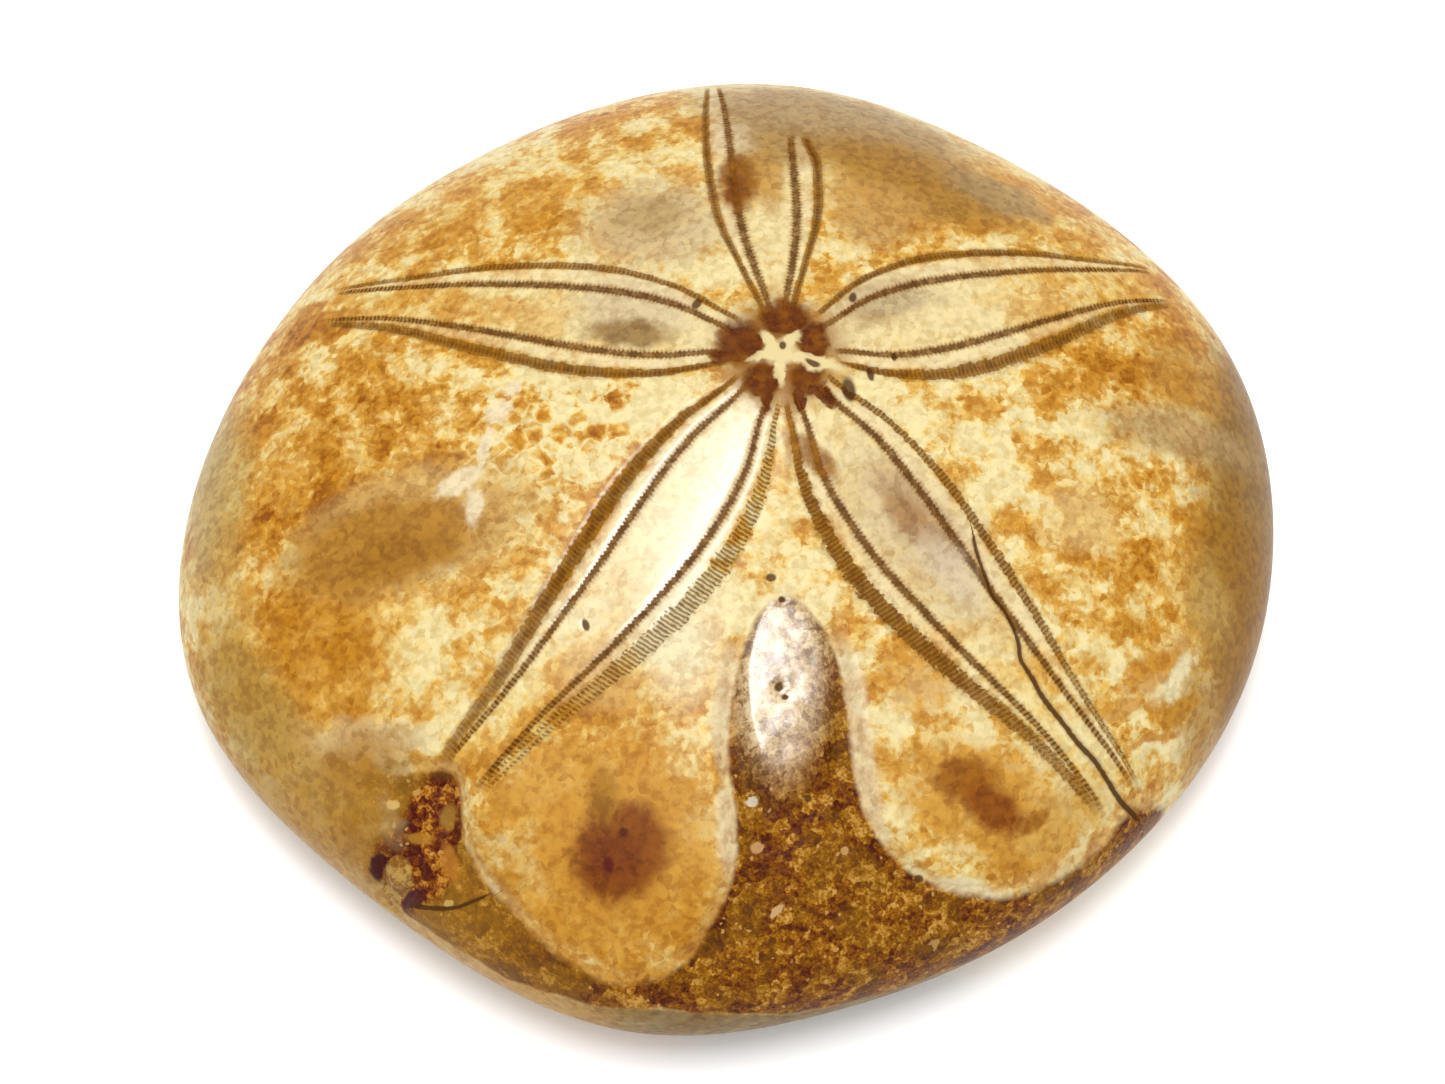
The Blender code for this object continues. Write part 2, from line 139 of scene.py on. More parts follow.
CRACK = ((13.7, -6.4), (13.9, -7.4), (14.3, -8.5), (14.7, -9.6), (15.4, -10.4), (16.1, -12.0),
         (16.2, -12.9), (16.8, -13.8), (17.5, -14.9), (18.5, -15.9), (19.5, -16.9), (20.5, -17.6),
         (21.2, -18.3), (22.0, -19.0), (23.0, -19.3))
CRACK_DEPTH = 0.15
LEDGE_FADE = (-22.0, -18.3)  # the ledge dies out from the left shoulder to the left margin
FISSURE = ((-17.6, -24.6), (-16.5, -25.0), (-15.2, -25.3), (-13.8, -25.2))
# The filling stops this many degrees above the margin, or below it: (x, degrees).
FILLING_STOP = ((-33.0, 5.0), (-20.0, 4.0), (-12.0, 4.0), (-8.5, 6.0), (-3.5, 8.5), (0.0, 6.0),
                (3.5, 2.0), (9.0, -3.0), (14.0, -9.0), (20.0, -30.0), (33.0, -30.0))
PEBBLE = (-18.6, -23.05, 0.95, 0.80, -35)  # x, y, radii, turn
PEBBLE_RISE = 0.60
PEBBLE_SOCKET = (-18.6, -23.2, 1.75, 1.30, -35)
SOCKET_DEPTH = 0.45
# Lumps and grains in the bare filling: name, size and height.
FILLING_RELIEF = (("lumps", 1.5, 0.28), ("grains", 0.55, 0.14))

# --- the underside ------------------------------------------------------------------------
MOUTH = (1.0, 1.5)
MOUTH_RADIUS = 2.8
MOUTH_FLOOR = 1.7
MOUTH_DEPTH = 1.3
FURROW_LENGTH = 13.0
FURROW_DEPTH = 0.45
FURROW_HALF_WIDTH = 1.5
VENT = (1.2, -17.2)
VENT_RADII = (1.5, 2.1)
VENT_DEPTH = 0.7
VENT_FLOOR = 0.5


# --- shape arithmetic ---------------------------------------------------------------------
def blend(low, high, value):
    """0 below low, 1 above high, and a smooth rise between them."""
    share = np.clip((value - low) / (high - low), 0.0, 1.0)
    return share * share * (3.0 - 2.0 * share)


def bump(distance, half_width):
    """1 in the middle of a groove or pit and 0 from its edge outwards."""
    return 1.0 - blend(0.0, half_width, np.abs(distance))


def reach(angle):
    """Distance from the middle to the margin: a closed cubic spline through REACH."""
    values = np.array(REACH)
    place = np.mod(angle, math.tau) / math.tau * len(values)
    first = np.floor(place).astype(int)
    t = place - first
    weights = ((1 - t) ** 3, 3 * t**3 - 6 * t**2 + 4, -3 * t**3 + 3 * t**2 + 3 * t + 1, t**3)
    return sum(w * values[(first + k - 1) % len(values)] for k, w in enumerate(weights)) / 6.0


def along(places, values, place):
    """The values at many places on a smooth curve through (places, values)."""
    places, values = np.array(places), np.array(values)
    last = len(places) - 1
    place = np.clip(place, places[0], places[last])
    k = np.clip(np.searchsorted(places, place, side="right") - 1, 0, last - 1)
    low, high = np.maximum(np.arange(last + 1) - 1, 0), np.minimum(np.arange(last + 1) + 1, last)
    slope = (values[high] - values[low]) / (places[high] - places[low])
    width = places[k + 1] - places[k]
    t = (place - places[k]) / width
    return (values[k] * (1 + 2 * t) * (1 - t) ** 2 + values[k + 1] * t * t * (3 - 2 * t)
            + width * (slope[k] * t * (1 - t) ** 2 - slope[k + 1] * t * t * (1 - t)))


def smooth_line(points, step):
    """Points about one step apart on a smooth curve through the given points."""
    points = np.array(points)
    lengths = np.concatenate(([0.0], np.cumsum(np.hypot(*np.diff(points, axis=0).T))))
    places = np.linspace(0.0, lengths[-1], round(lengths[-1] / step) + 1)
    return np.stack([along(lengths, column, places) for column in points.T], axis=1)


def outline_place(x, y, centre):
    """Size and angle at which the outline, shrunk towards the centre, passes through (x, y)."""
    share = np.ones_like(x)
    for _ in range(10):
        dx, dy = x - centre[0] * (1 - share), y - centre[1] * (1 - share)
        share = np.hypot(dx, dy) / reach(np.arctan2(dy, dx))
    return share, np.arctan2(dy, dx)


def line_distance(x, y, line):
    """Distance to a line, positive on its right."""
    nearest = np.full_like(x, 1e9)
    side = np.ones_like(x)
    for (ax, ay), (bx, by) in zip(line, line[1:]):
        ux, uy = bx - ax, by - ay
        t = np.clip(((x - ax) * ux + (y - ay) * uy) / (ux * ux + uy * uy), 0.0, 1.0)
        dx, dy = x - ax - ux * t, y - ay - uy * t
        distance = np.hypot(dx, dy)
        closer = distance < nearest - 1e-9
        nearest = np.where(closer, distance, nearest)
        side = np.where(closer, uy * dx - ux * dy, side)
    return np.copysign(nearest, side)


def spot(x, y, centre, radii, turn=0.0):
    """Distance from a centre in shares of an ellipse's radii, the first along the turn."""
    turn = math.radians(turn)
    dx, dy = x - centre[0], y - centre[1]
    return np.hypot((dx * math.cos(turn) + dy * math.sin(turn)) / radii[0],
                    (dy * math.cos(turn) - dx * math.sin(turn)) / radii[1])


# --- the raw stone ------------------------------------------------------------------------
TOP_RIM = 0.2  # the ball's part above this height becomes the upper surface
FINE_ABOVE = 0.17
MEAN_REACH = 31.0
INSET = 0.999  # keeps the finer mesh inside the coarser solid
MARGIN_PART = 0.28  # the share of the ball's lower part that makes the rounded margin


def add_ball():
    """A ball of small triangles, finer where the upper surface will be."""
    bpy.ops.object.select_all(action="DESELECT")
    bpy.ops.mesh.primitive_ico_sphere_add(subdivisions=7, radius=1.0, location=(0, 0, 0))
    ball = bpy.context.object
    ball.name = "urchin_stone"
    ball.data.name = "urchin_stone"
    bpy.ops.object.mode_set(mode="EDIT")
    bpy.ops.mesh.select_all(action="DESELECT")
    bpy.ops.object.mode_set(mode="OBJECT")
    for face in ball.data.polygons:
        face.select = face.center.z > FINE_ABOVE
    bpy.ops.object.mode_set(mode="EDIT")
    bpy.ops.mesh.select_mode(type="FACE")
    bpy.ops.mesh.subdivide(number_cuts=1)
    bpy.ops.mesh.select_all(action="SELECT")
    bpy.ops.mesh.quads_convert_to_tris()
    bpy.ops.object.mode_set(mode="OBJECT")
    return ball


def read_points(thing):
    points = np.empty(len(thing.data.vertices) * 3)
    thing.data.vertices.foreach_get("co", points)
    return points.reshape(-1, 3)


def write_points(thing, points):
    thing.data.vertices.foreach_set("co", points.ravel())
    thing.data.update()


def even_latitudes(share):
    """Latitudes on the dome at even steps of its slope, 0 at the crown to 1 at the margin."""
    latitude = np.linspace(math.pi / 2, 0.0, 400)
    step = np.hypot(MEAN_REACH * np.sin(latitude), (HEIGHT - MARGIN_HEIGHT) * np.cos(latitude))
    length = np.concatenate(([0.0], np.cumsum((step[1:] + step[:-1]) / 2)))
    return np.interp(share, length / length[-1], latitude)


def form_stone(ball):
    """Moves the ball's points to the smooth form. Returns the plan place and the level in degrees.
    """
    ball_points = read_points(ball)
    ball_points /= np.linalg.norm(ball_points, axis=1)[:, None]
    angle = np.arctan2(ball_points[:, 1], ball_points[:, 0])
    polar = np.arccos(np.clip(ball_points[:, 2], -1.0, 1.0))
    rim = math.acos(TOP_RIM)
    radius = reach(angle)
    out = np.stack([radius * np.cos(angle), radius * np.sin(angle)], axis=1)

    upper = polar <= rim
    latitude = even_latitudes(np.minimum(polar / rim, 1.0))
    crown = np.array(CROWN)
    top = crown + (out - crown) * np.cos(latitude)[:, None]
    top_height = MARGIN_HEIGHT + (HEIGHT - MARGIN_HEIGHT) * np.sin(latitude)

    below = np.clip((polar - rim) / (math.pi - rim), 0.0, 1.0)
    turn = np.clip(below / MARGIN_PART, 0.0, 1.0) * math.pi / 2
    inward = np.clip((below - MARGIN_PART) / (1.0 - MARGIN_PART), 0.0, 1.0)
    share = (FOOT_OUTER + (1 - FOOT_OUTER) * np.cos(turn)) * (1 - inward)
    under = out * share[:, None]
    under_height = MARGIN_HEIGHT * (1 - np.sin(turn))
    under_height += np.where(inward > 0, base_rise(under[:, 0], under[:, 1]), 0.0)

    plan = np.where(upper[:, None], top, under)
    height = np.where(upper, top_height, under_height)
    write_points(ball, np.column_stack([plan, height]) * INSET * MM)
    level = np.where(upper, np.degrees(latitude), -np.degrees(turn) - 90.0 * inward)
    return plan[:, 0], plan[:, 1], level


def base_rise(x, y):
    """Rise of the underside: flat ring, hollow middle, mouth, furrows and vent."""
    share, _ = outline_place(x, y, (0.0, 0.0))
    rise = BASE_HOLLOW * (1.0 - blend(0.0, FOOT_INNER, share))
    dx, dy = x - MOUTH[0], y - MOUTH[1]
    rise += MOUTH_DEPTH * (1.0 - blend(MOUTH_FLOOR, MOUTH_RADIUS, np.hypot(dx, dy)))
    for petal in PETALS:
        turn = math.radians(petal.azimuth)
        s = dx * math.cos(turn) + dy * math.sin(turn)
        t = dy * math.cos(turn) - dx * math.sin(turn)
        out = blend(1.0, MOUTH_RADIUS, s) * (1.0 - blend(MOUTH_RADIUS, FURROW_LENGTH, s))
        rise += FURROW_DEPTH * bump(t, FURROW_HALF_WIDTH) * out
    rise += VENT_DEPTH * (1.0 - blend(VENT_FLOOR, 1.0, spot(x, y, VENT, VENT_RADII)))
    return rise


# --- petals -------------------------------------------------------------------------------
def petal_fields(x, y):
    """For the nearest petal, how the place lies to its outer band and to its inner line.

    Across a band or line the value is 0 in its middle, 1 at its outer and -1 at its inner edge.
    """
    names = ("band", "line", "out", "end", "ink", "ribs", "cream")
    fields = {name: np.zeros_like(x) for name in names}
    nearest = np.full_like(x, 1e9)
    for petal in PETALS:
        turn = math.radians(petal.azimuth)
        dx, dy = x - CROWN[0], y - CROWN[1]
        s = dx * math.cos(turn) + dy * math.sin(turn)
        t = dy * math.cos(turn) - dx * math.sin(turn)
        share = np.clip(s / petal.length, 0.0, 1.0)
        t = t - petal.bow * np.sin(math.pi * share) - petal.lean * share**2
        width, ink, ribs, end = (np.where(t > 0, *pair) for pair in zip(petal.left, petal.right))
        outer = petal.half_width * along(STATIONS, petal.profile, share)
        inner = outer * along(STATIONS, INNER_SHARE, share)
        closing = SHORT_END_CLOSE * (outer - inner) * blend(end - SHORT_END_RUN, end, share)
        outer = outer - np.where(end < 1.0, closing, 0)
        behind = np.where(s < 0, 100.0, 0.0)
        half_band = along(STATIONS, BAND_WIDTH, share) * (1 + (width - 1) * blend(0.1, 0.3, share))
        found = {
            "band": (np.abs(t) - outer) / half_band + behind,
            "line": (np.abs(t) - inner) / along(STATIONS, LINE_WIDTH, share) + behind,
            "out": s / petal.length, "end": s / petal.length / end, "ink": ink, "ribs": ribs,
            "cream": np.full_like(x, petal.cream),
        }
        nearness = np.abs(t) / np.maximum(outer, 0.5) + behind
        mine = nearness < nearest
        nearest = np.where(mine, nearness, nearest)
        for name in names:
            fields[name] = np.where(mine, found[name], fields[name])
    return fields


def petal_along(x, y):
    """Millimetres from the crown along the nearest petal's axis."""
    dx, dy = x - CROWN[0], y - CROWN[1]
    turns = [math.radians(petal.azimuth) for petal in PETALS]
    return np.max([dx * math.cos(turn) + dy * math.sin(turn) for turn in turns], axis=0)


# --- relief -------------------------------------------------------------------------------
def hollow_share(x, y, rounds, low, high):
    """1 inside the rounds, 0 outside them, and a smooth step between low and high."""
    share = np.zeros_like(x)
    for px, py, rx, ry, turn in rounds:
        share = np.maximum(share, 1.0 - blend(low, high, spot(x, y, (px, py), (rx, ry), turn)))
    return share


def pit_depth(x, y):
    depth = np.zeros_like(x)
    for *place, deep in PITS:
        depth = np.maximum(depth, deep * hollow_share(x, y, (place,), 0.5, 1.3))
    return depth


def front_relief(x, y, edge, to_margin):
    """How far the bare filling lies below the shell, with its gutter, ridge and pebble."""
    ledge = blend(-LEDGE_WIDTH, 0.0, edge)
    gutter = GUTTER_DEPTH * bump(edge - GUTTER_HALF_WIDTH, GUTTER_HALF_WIDTH) * ledge
    tongue = (1.0 - blend(0.65, 1.05, spot(x, y, TONGUE[:2], TONGUE[2:]))) * ledge
    socket = SOCKET_DEPTH * hollow_share(x, y, (PEBBLE_SOCKET,), 0.5, 1.0)
    round_top = np.clip(1 - spot(x, y, PEBBLE[:2], PEBBLE[2:4], PEBBLE[4]) ** 2, 0, 1)
    pebble = PEBBLE_RISE * np.sqrt(round_top)
    drop = LEDGE_DROP * ledge + gutter * (1.0 - tongue) - TONGUE_RISE * tongue
    return -to_margin * blend(*LEDGE_FADE, x) * drop - socket + pebble


def add_relief(stone, x, y, level, fields):
    """Moves the points along their normals by all the fine relief of the upper side."""
    normals = np.empty(len(stone.data.vertices) * 3)
    stone.data.vertices.foreach_get("normal", normals)
    normals = normals.reshape(-1, 3)
    ends = blend(0.10, 0.18, fields["out"]) * (1.0 - blend(0.93, 1.0, fields["end"]))
    grooves = ends * np.maximum(BAND_DEPTH * bump(fields["band"], 1.15),
                                LINE_DEPTH * bump(fields["line"], 1.4))
    relief = front_relief(x, y, fields["edge"], fields["to_margin"]) - grooves
    relief -= POCKET_DEPTH * hollow_share(x, y, POCKETS, 0.7, 1.15) + pit_depth(x, y)
    relief -= CRACK_DEPTH * bump(fields["crack"], 0.3)
    relief = np.where(level > 0, relief, 0.0)
    write_points(stone, read_points(stone) + normals * relief[:, None] * MM)


# --- colour fields ------------------------------------------------------------------------
# Broad areas of iron staining: x, y, radii, turn, strength (0 cream, 1 deep ochre).
STAINING = (
    (-22.0, 3.5, 9.0, 6.0, 0, 0.72), (-22.0, -2.8, 7.5, 2.6, 5, 0.97),
    (-26.0, 8.0, 4.0, 3.0, 20, 0.8), (-23.0, -12.0, 5.5, 4.0, -20, 0.84),
    (-10.0, 0.5, 6.0, 4.0, 10, 0.44), (-16.7, 5.6, 3.2, 1.8, 0, 0.15),
    (-12.5, -6.0, 4.0, 1.8, 20, 0.75), (-13.5, -12.5, 4.0, 4.0, 0, 0.36),
    (-18.0, -13.0, 2.0, 4.0, 0, 0.15), (-15.0, 16.5, 10.0, 5.0, 0, 0.50),
    # the weak staining at (-2.5, -12.0) leaves the shell there pale: partly its cream tone, partly
    # a painted highlight beside the left front petal
    (-20.0, 14.5, 6.0, 2.5, 0, 0.62), (-2.5, -12.0, 2.4, 3.6, 20, 0.10),
    (-11.0, 15.5, 5.0, 2.6, 0, 0.62), (-8.0, 22.5, 8.0, 4.0, 10, 0.56),
    (-17.5, 9.2, 8.0, 1.7, -12, 0.52), (11.5, 17.5, 4.5, 3.5, -20, 0.88),
    (20.0, 17.5, 6.0, 3.0, -25, 0.66), (7.5, 13.5, 3.5, 4.0, 0, 0.45),
    (22.0, 12.5, 4.0, 1.6, 20, 0.52), (20.0, -1.0, 6.0, 4.0, 0, 0.34),
    (24.0, 7.0, 4.5, 3.5, 0, 0.80), (23.5, -6.0, 5.0, 3.5, 0, 0.88),
    (28.0, -9.0, 3.5, 6.0, 10, 0.70), (26.5, 4.5, 4.0, 4.0, 0, 0.66),
    (9.0, -14.0, 2.6, 5.0, 20, 0.50), (14.0, -20.6, 5.8, 2.4, -10, 0.72),
    (10.0, -18.0, 2.2, 3.2, 0, 0.55), (-7.5, -20.5, 7.0, 4.5, 20, 0.68),
    (-4.5, -26.5, 5.5, 3.4, 0, 0.90), (-12.5, -22.5, 2.4, 3.5, 20, 0.30),
    (-2.5, -18.0, 3.0, 4.5, 0, 0.46), (-2.5, -23.5, 2.2, 3.6, 0, 0.76),
    (2.2, -6.0, 1.6, 3.6, 0, 0.38), (-10.5, -17.0, 4.0, 1.8, 40, 0.50),
    (12.0, 1.0, 5.0, 3.0, 0, 0.28), (14.0, -3.0, 2.5, 3.0, 0, 0.22),
    (15.0, -17.0, 4.0, 2.0, -40, 0.15), (18.5, -19.5, 2.6, 1.2, 35, 0.15),
    (19.8, -4.0, 2.4, 2.0, 0, 0.20), (19.6, -13.4, 2.6, 2.6, 0, 0.28),
)
PLAIN_STAINING = 0.33  # away from all of them, and how much that counts against them
PLAIN_WEIGHT = 0.25
# Areas where the mottling is weaker: x, y, radii, turn, how much weaker.
CALM = (
    (-22.0, -12.0, 9.0, 6.0, 0, 0.60), (-6.5, -23.5, 6.5, 6.5, 0, 0.70),
    (10.0, 21.0, 12.0, 6.0, -15, 0.70), (-15.0, 17.5, 12.0, 5.0, 10, 0.35),
    (29.5, -2.0, 3.5, 12.0, 0, 0.40), (3.0, 0.0, 4.0, 8.0, 0, 0.30),
)


def soft_area(x, y, px, py, rx, ry, turn):
    """1 in the middle of an ellipse, fading to about a quarter at its edge and on to 0."""
    return np.exp(-1.4 * spot(x, y, (px, py), (rx, ry), turn) ** 2)


def calmness(x, y):
    calm = np.zeros_like(x)
    for *shape, share in CALM:
        calm = np.maximum(calm, share * soft_area(x, y, *shape))
    return calm


def staining(x, y):
    """How warm the shell's colour is, from a soft union of the broad areas."""
    total = np.full_like(x, PLAIN_STAINING * PLAIN_WEIGHT)
    weight = np.full_like(x, PLAIN_WEIGHT)
    for px, py, rx, ry, turn, strength in STAINING:
        w = soft_area(x, y, px, py, rx, ry, turn) * (0.4 + strength)
        total += strength * w
        weight += w
    return total / weight


FAR = 9.0  # far from any line, which keeps the underside free of them


def add_field(stone, name, *columns):
    """Stores one number, or three, for every point of the mesh."""
    kind, key = ("FLOAT", "value") if len(columns) == 1 else ("FLOAT_VECTOR", "vector")
    field = stone.data.attributes.new(name, kind, "POINT")
    field.data.foreach_set(key, np.column_stack(columns).astype(np.float32).ravel())


def add_fields(stone, x, y, level, fields):
    """The numbers that the colours follow over the surface."""
    top = blend(-6.0, 0.0, level)
    run = petal_along(x, y)
    keep = blend(PETAL_START - 0.3, PETAL_START + 0.3, run)
    keep *= 1.0 - blend(0.97, 1.03, fields["end"])
    stops, limits = zip(*FILLING_STOP)
    away = FAR * (1 - top)
    add_field(stone, "pores", fields["band"] + away, fields["line"] + away, run)
    add_field(stone, "petal", fields["out"], keep * top, fields["ribs"])
    add_field(stone, "front", fields["edge"], fields["crack"], fields["tongue"])
    add_field(stone, "fissure", fields["fissure"])
    add_field(stone, "tints", fields["ink"], fields["cream"], staining(x, y))
    add_field(stone, "mouth", fields["mouth"])
    add_field(stone, "calm", calmness(x, y))
    add_field(stone, "above_stop", level - along(stops, limits, x))
    add_field(stone, "level", level)


def make_stone():
    stone = add_ball()
    x, y, level = form_stone(stone)
    fields = petal_fields(x, y)
    edge = line_distance(x, y, smooth_line(SHELL_EDGE, 0.6))
    under = level < -90.0
    mouth = np.maximum(
        1.0 - blend(MOUTH_FLOOR, MOUTH_RADIUS + 0.3, np.hypot(x - MOUTH[0], y - MOUTH[1])),
        1.0 - blend(VENT_FLOOR, 1.1, spot(x, y, VENT, VENT_RADII)))
    share, _ = outline_place(x, y, CROWN)
    fields |= {
        "edge": edge, "mouth": np.where(under, mouth, 0.0),
        "to_margin": 1.0 - blend(0.90, 1.0, share),
        "crack": line_distance(x, y, smooth_line(CRACK, 0.4)),
        "fissure": np.where(under, FAR, line_distance(x, y, smooth_line(FISSURE, 0.4))),
        "tongue": 1.0 - blend(0.6, 1.1, spot(x, y, TONGUE[:2], TONGUE[2:])),
    }
    add_relief(stone, x, y, level, fields)
    add_fields(stone, x, y, level, fields)
    bare = np.where(level > 0, blend(0.3, 1.4, edge) * fields["to_margin"], 0.0)
    roughen_filling(stone, bare * (1.0 - 0.75 * fields["tongue"]))
    bpy.ops.object.shade_smooth()
    return stone


def roughen_filling(stone, weights):
    """Lumps and grains in the bare filling, pressed in with two displace modifiers."""
    group = stone.vertex_groups.new(name="filling")  # not asked again once a modifier is applied
    for index in np.nonzero(weights > 0.01)[0]:
        group.add([int(index)], float(weights[index]), "REPLACE")
    for name, size, strength in FILLING_RELIEF:
        texture = bpy.data.textures.new(name, "CLOUDS")
        texture.noise_scale = size * MM
        texture.noise_depth = 2
        bpy.ops.object.modifier_add(type="DISPLACE")
        press = stone.modifiers[-1]
        press.texture = texture
        press.texture_coords = "LOCAL"
        press.mid_level = 0.5
        press.strength = strength * MM
        press.vertex_group = "filling"
        bpy.ops.object.modifier_apply(modifier=press.name)


# --- finish -------------------------------------------------------------------------------
SHEEN = (0.008, 0.008, 0.009)  # light that the polish itself sends back
FULL_LIGHT = 1.68


def tint(*display):
    """What a shader takes to show this display colour, 0 to 255, in the studio's light."""
    def paint(value, sheen):
        value /= 255.0
        linear = value / 12.92 if value <= 0.04045 else ((value + 0.055) / 1.055) ** 2.4
        return max((linear - sheen) / FULL_LIGHT, 0.002)
    return (*map(paint, display, SHEEN), 1.0)


SHELL = ((0.16, tint(246, 226, 170)), (0.34, tint(240, 208, 134)), (0.47, tint(229, 181, 95)),
         (0.64, tint(213, 153, 62)), (0.86, tint(194, 128, 36)), (1.0, tint(168, 102, 20)))
FLECKS = ((0.28, (0.63, 0.61, 0.53, 1.0)), (0.48, (0.51, 0.51, 0.49, 1.0)),
          (0.72, (0.33, 0.30, 0.25, 1.0)))
STAR_CREAM = tint(244, 222, 162)
PETAL_CREAM = tint(236, 212, 160)
STRIP_CREAM = tint(240, 216, 176)
PORE_DARK = tint(96, 58, 6)
PORE_BROWN = tint(156, 104, 36)
EDGE_CREAM = tint(242, 222, 186)
RIM_TAN = tint(202, 156, 88)
RIM_GREY = tint(132, 104, 64)
FILLING = ((0.12, tint(86, 40, 0)), (0.32, tint(118, 62, 0)), (0.50, tint(142, 84, 6)),
           (0.68, tint(172, 114, 26)), (0.92, tint(220, 166, 84)))
FILLING_OLIVE = tint(142, 104, 28)
FILLING_OCHRE = tint(176, 126, 46)
FILLING_SPECK = tint(214, 164, 88)
# the ridge between the lobes, brown to near white: partly its own pale tone, partly a painted
# highlight
RIDGE_TONE_AND_HIGHLIGHT = ((0.3, tint(132, 92, 34)), (0.5, tint(206, 168, 108)), (0.7, tint(244, 220, 172)))
RED_BLOCK = ((0.2, tint(84, 26, 0)), (0.46, tint(118, 54, 4)), (0.62, tint(148, 80, 16)),
             (0.80, tint(206, 140, 56)))
PEBBLE_BROWN = ((0.3, tint(150, 96, 40)), (0.7, tint(204, 164, 88)))
POCKET_BROWN = ((0.3, tint(96, 46, 0)), (0.5, tint(118, 62, 4)), (0.7, tint(140, 82, 18)))
VEIN_WHITE = tint(244, 224, 186)
RING_BROWN = tint(156, 102, 40)
PIT_BROWN = tint(92, 56, 10)
CRACK_BROWN = tint(84, 52, 12)

# Gloss: the coat is nearly all of the polish, and lies on the shell's brightest parts.
SHELL_ROUGHNESS = 0.30
FILLING_ROUGHNESS = 0.26
DULL_ROUGHNESS = 0.25  # added in pockets, pits, pores and cracks
STRONG_COAT = 0.75
THIN_COAT = 0.05
COAT_ROUGHNESS = 0.18
COAT_IOR = 1.8
UNDER_COAT_SPECULAR = 0.06

# Sizes of the patterns, and depths of the finest relief.
FINE_SIZE = 0.45
DAB_SIZE = 0.42
PLATE_SIZE = 1.05
GRAIN_SIZE = 0.34
FLAKE_SIZE = 1.1
CRINKLE_SIZE = 0.40
SHELL_GRAIN_DEPTH = 0.03
ROCK_GRAIN_DEPTH = 0.12
WORN_DEPTH = 0.03
RIDGE_CRINKLE = 0.17
POLISH_RIPPLE = 0.060
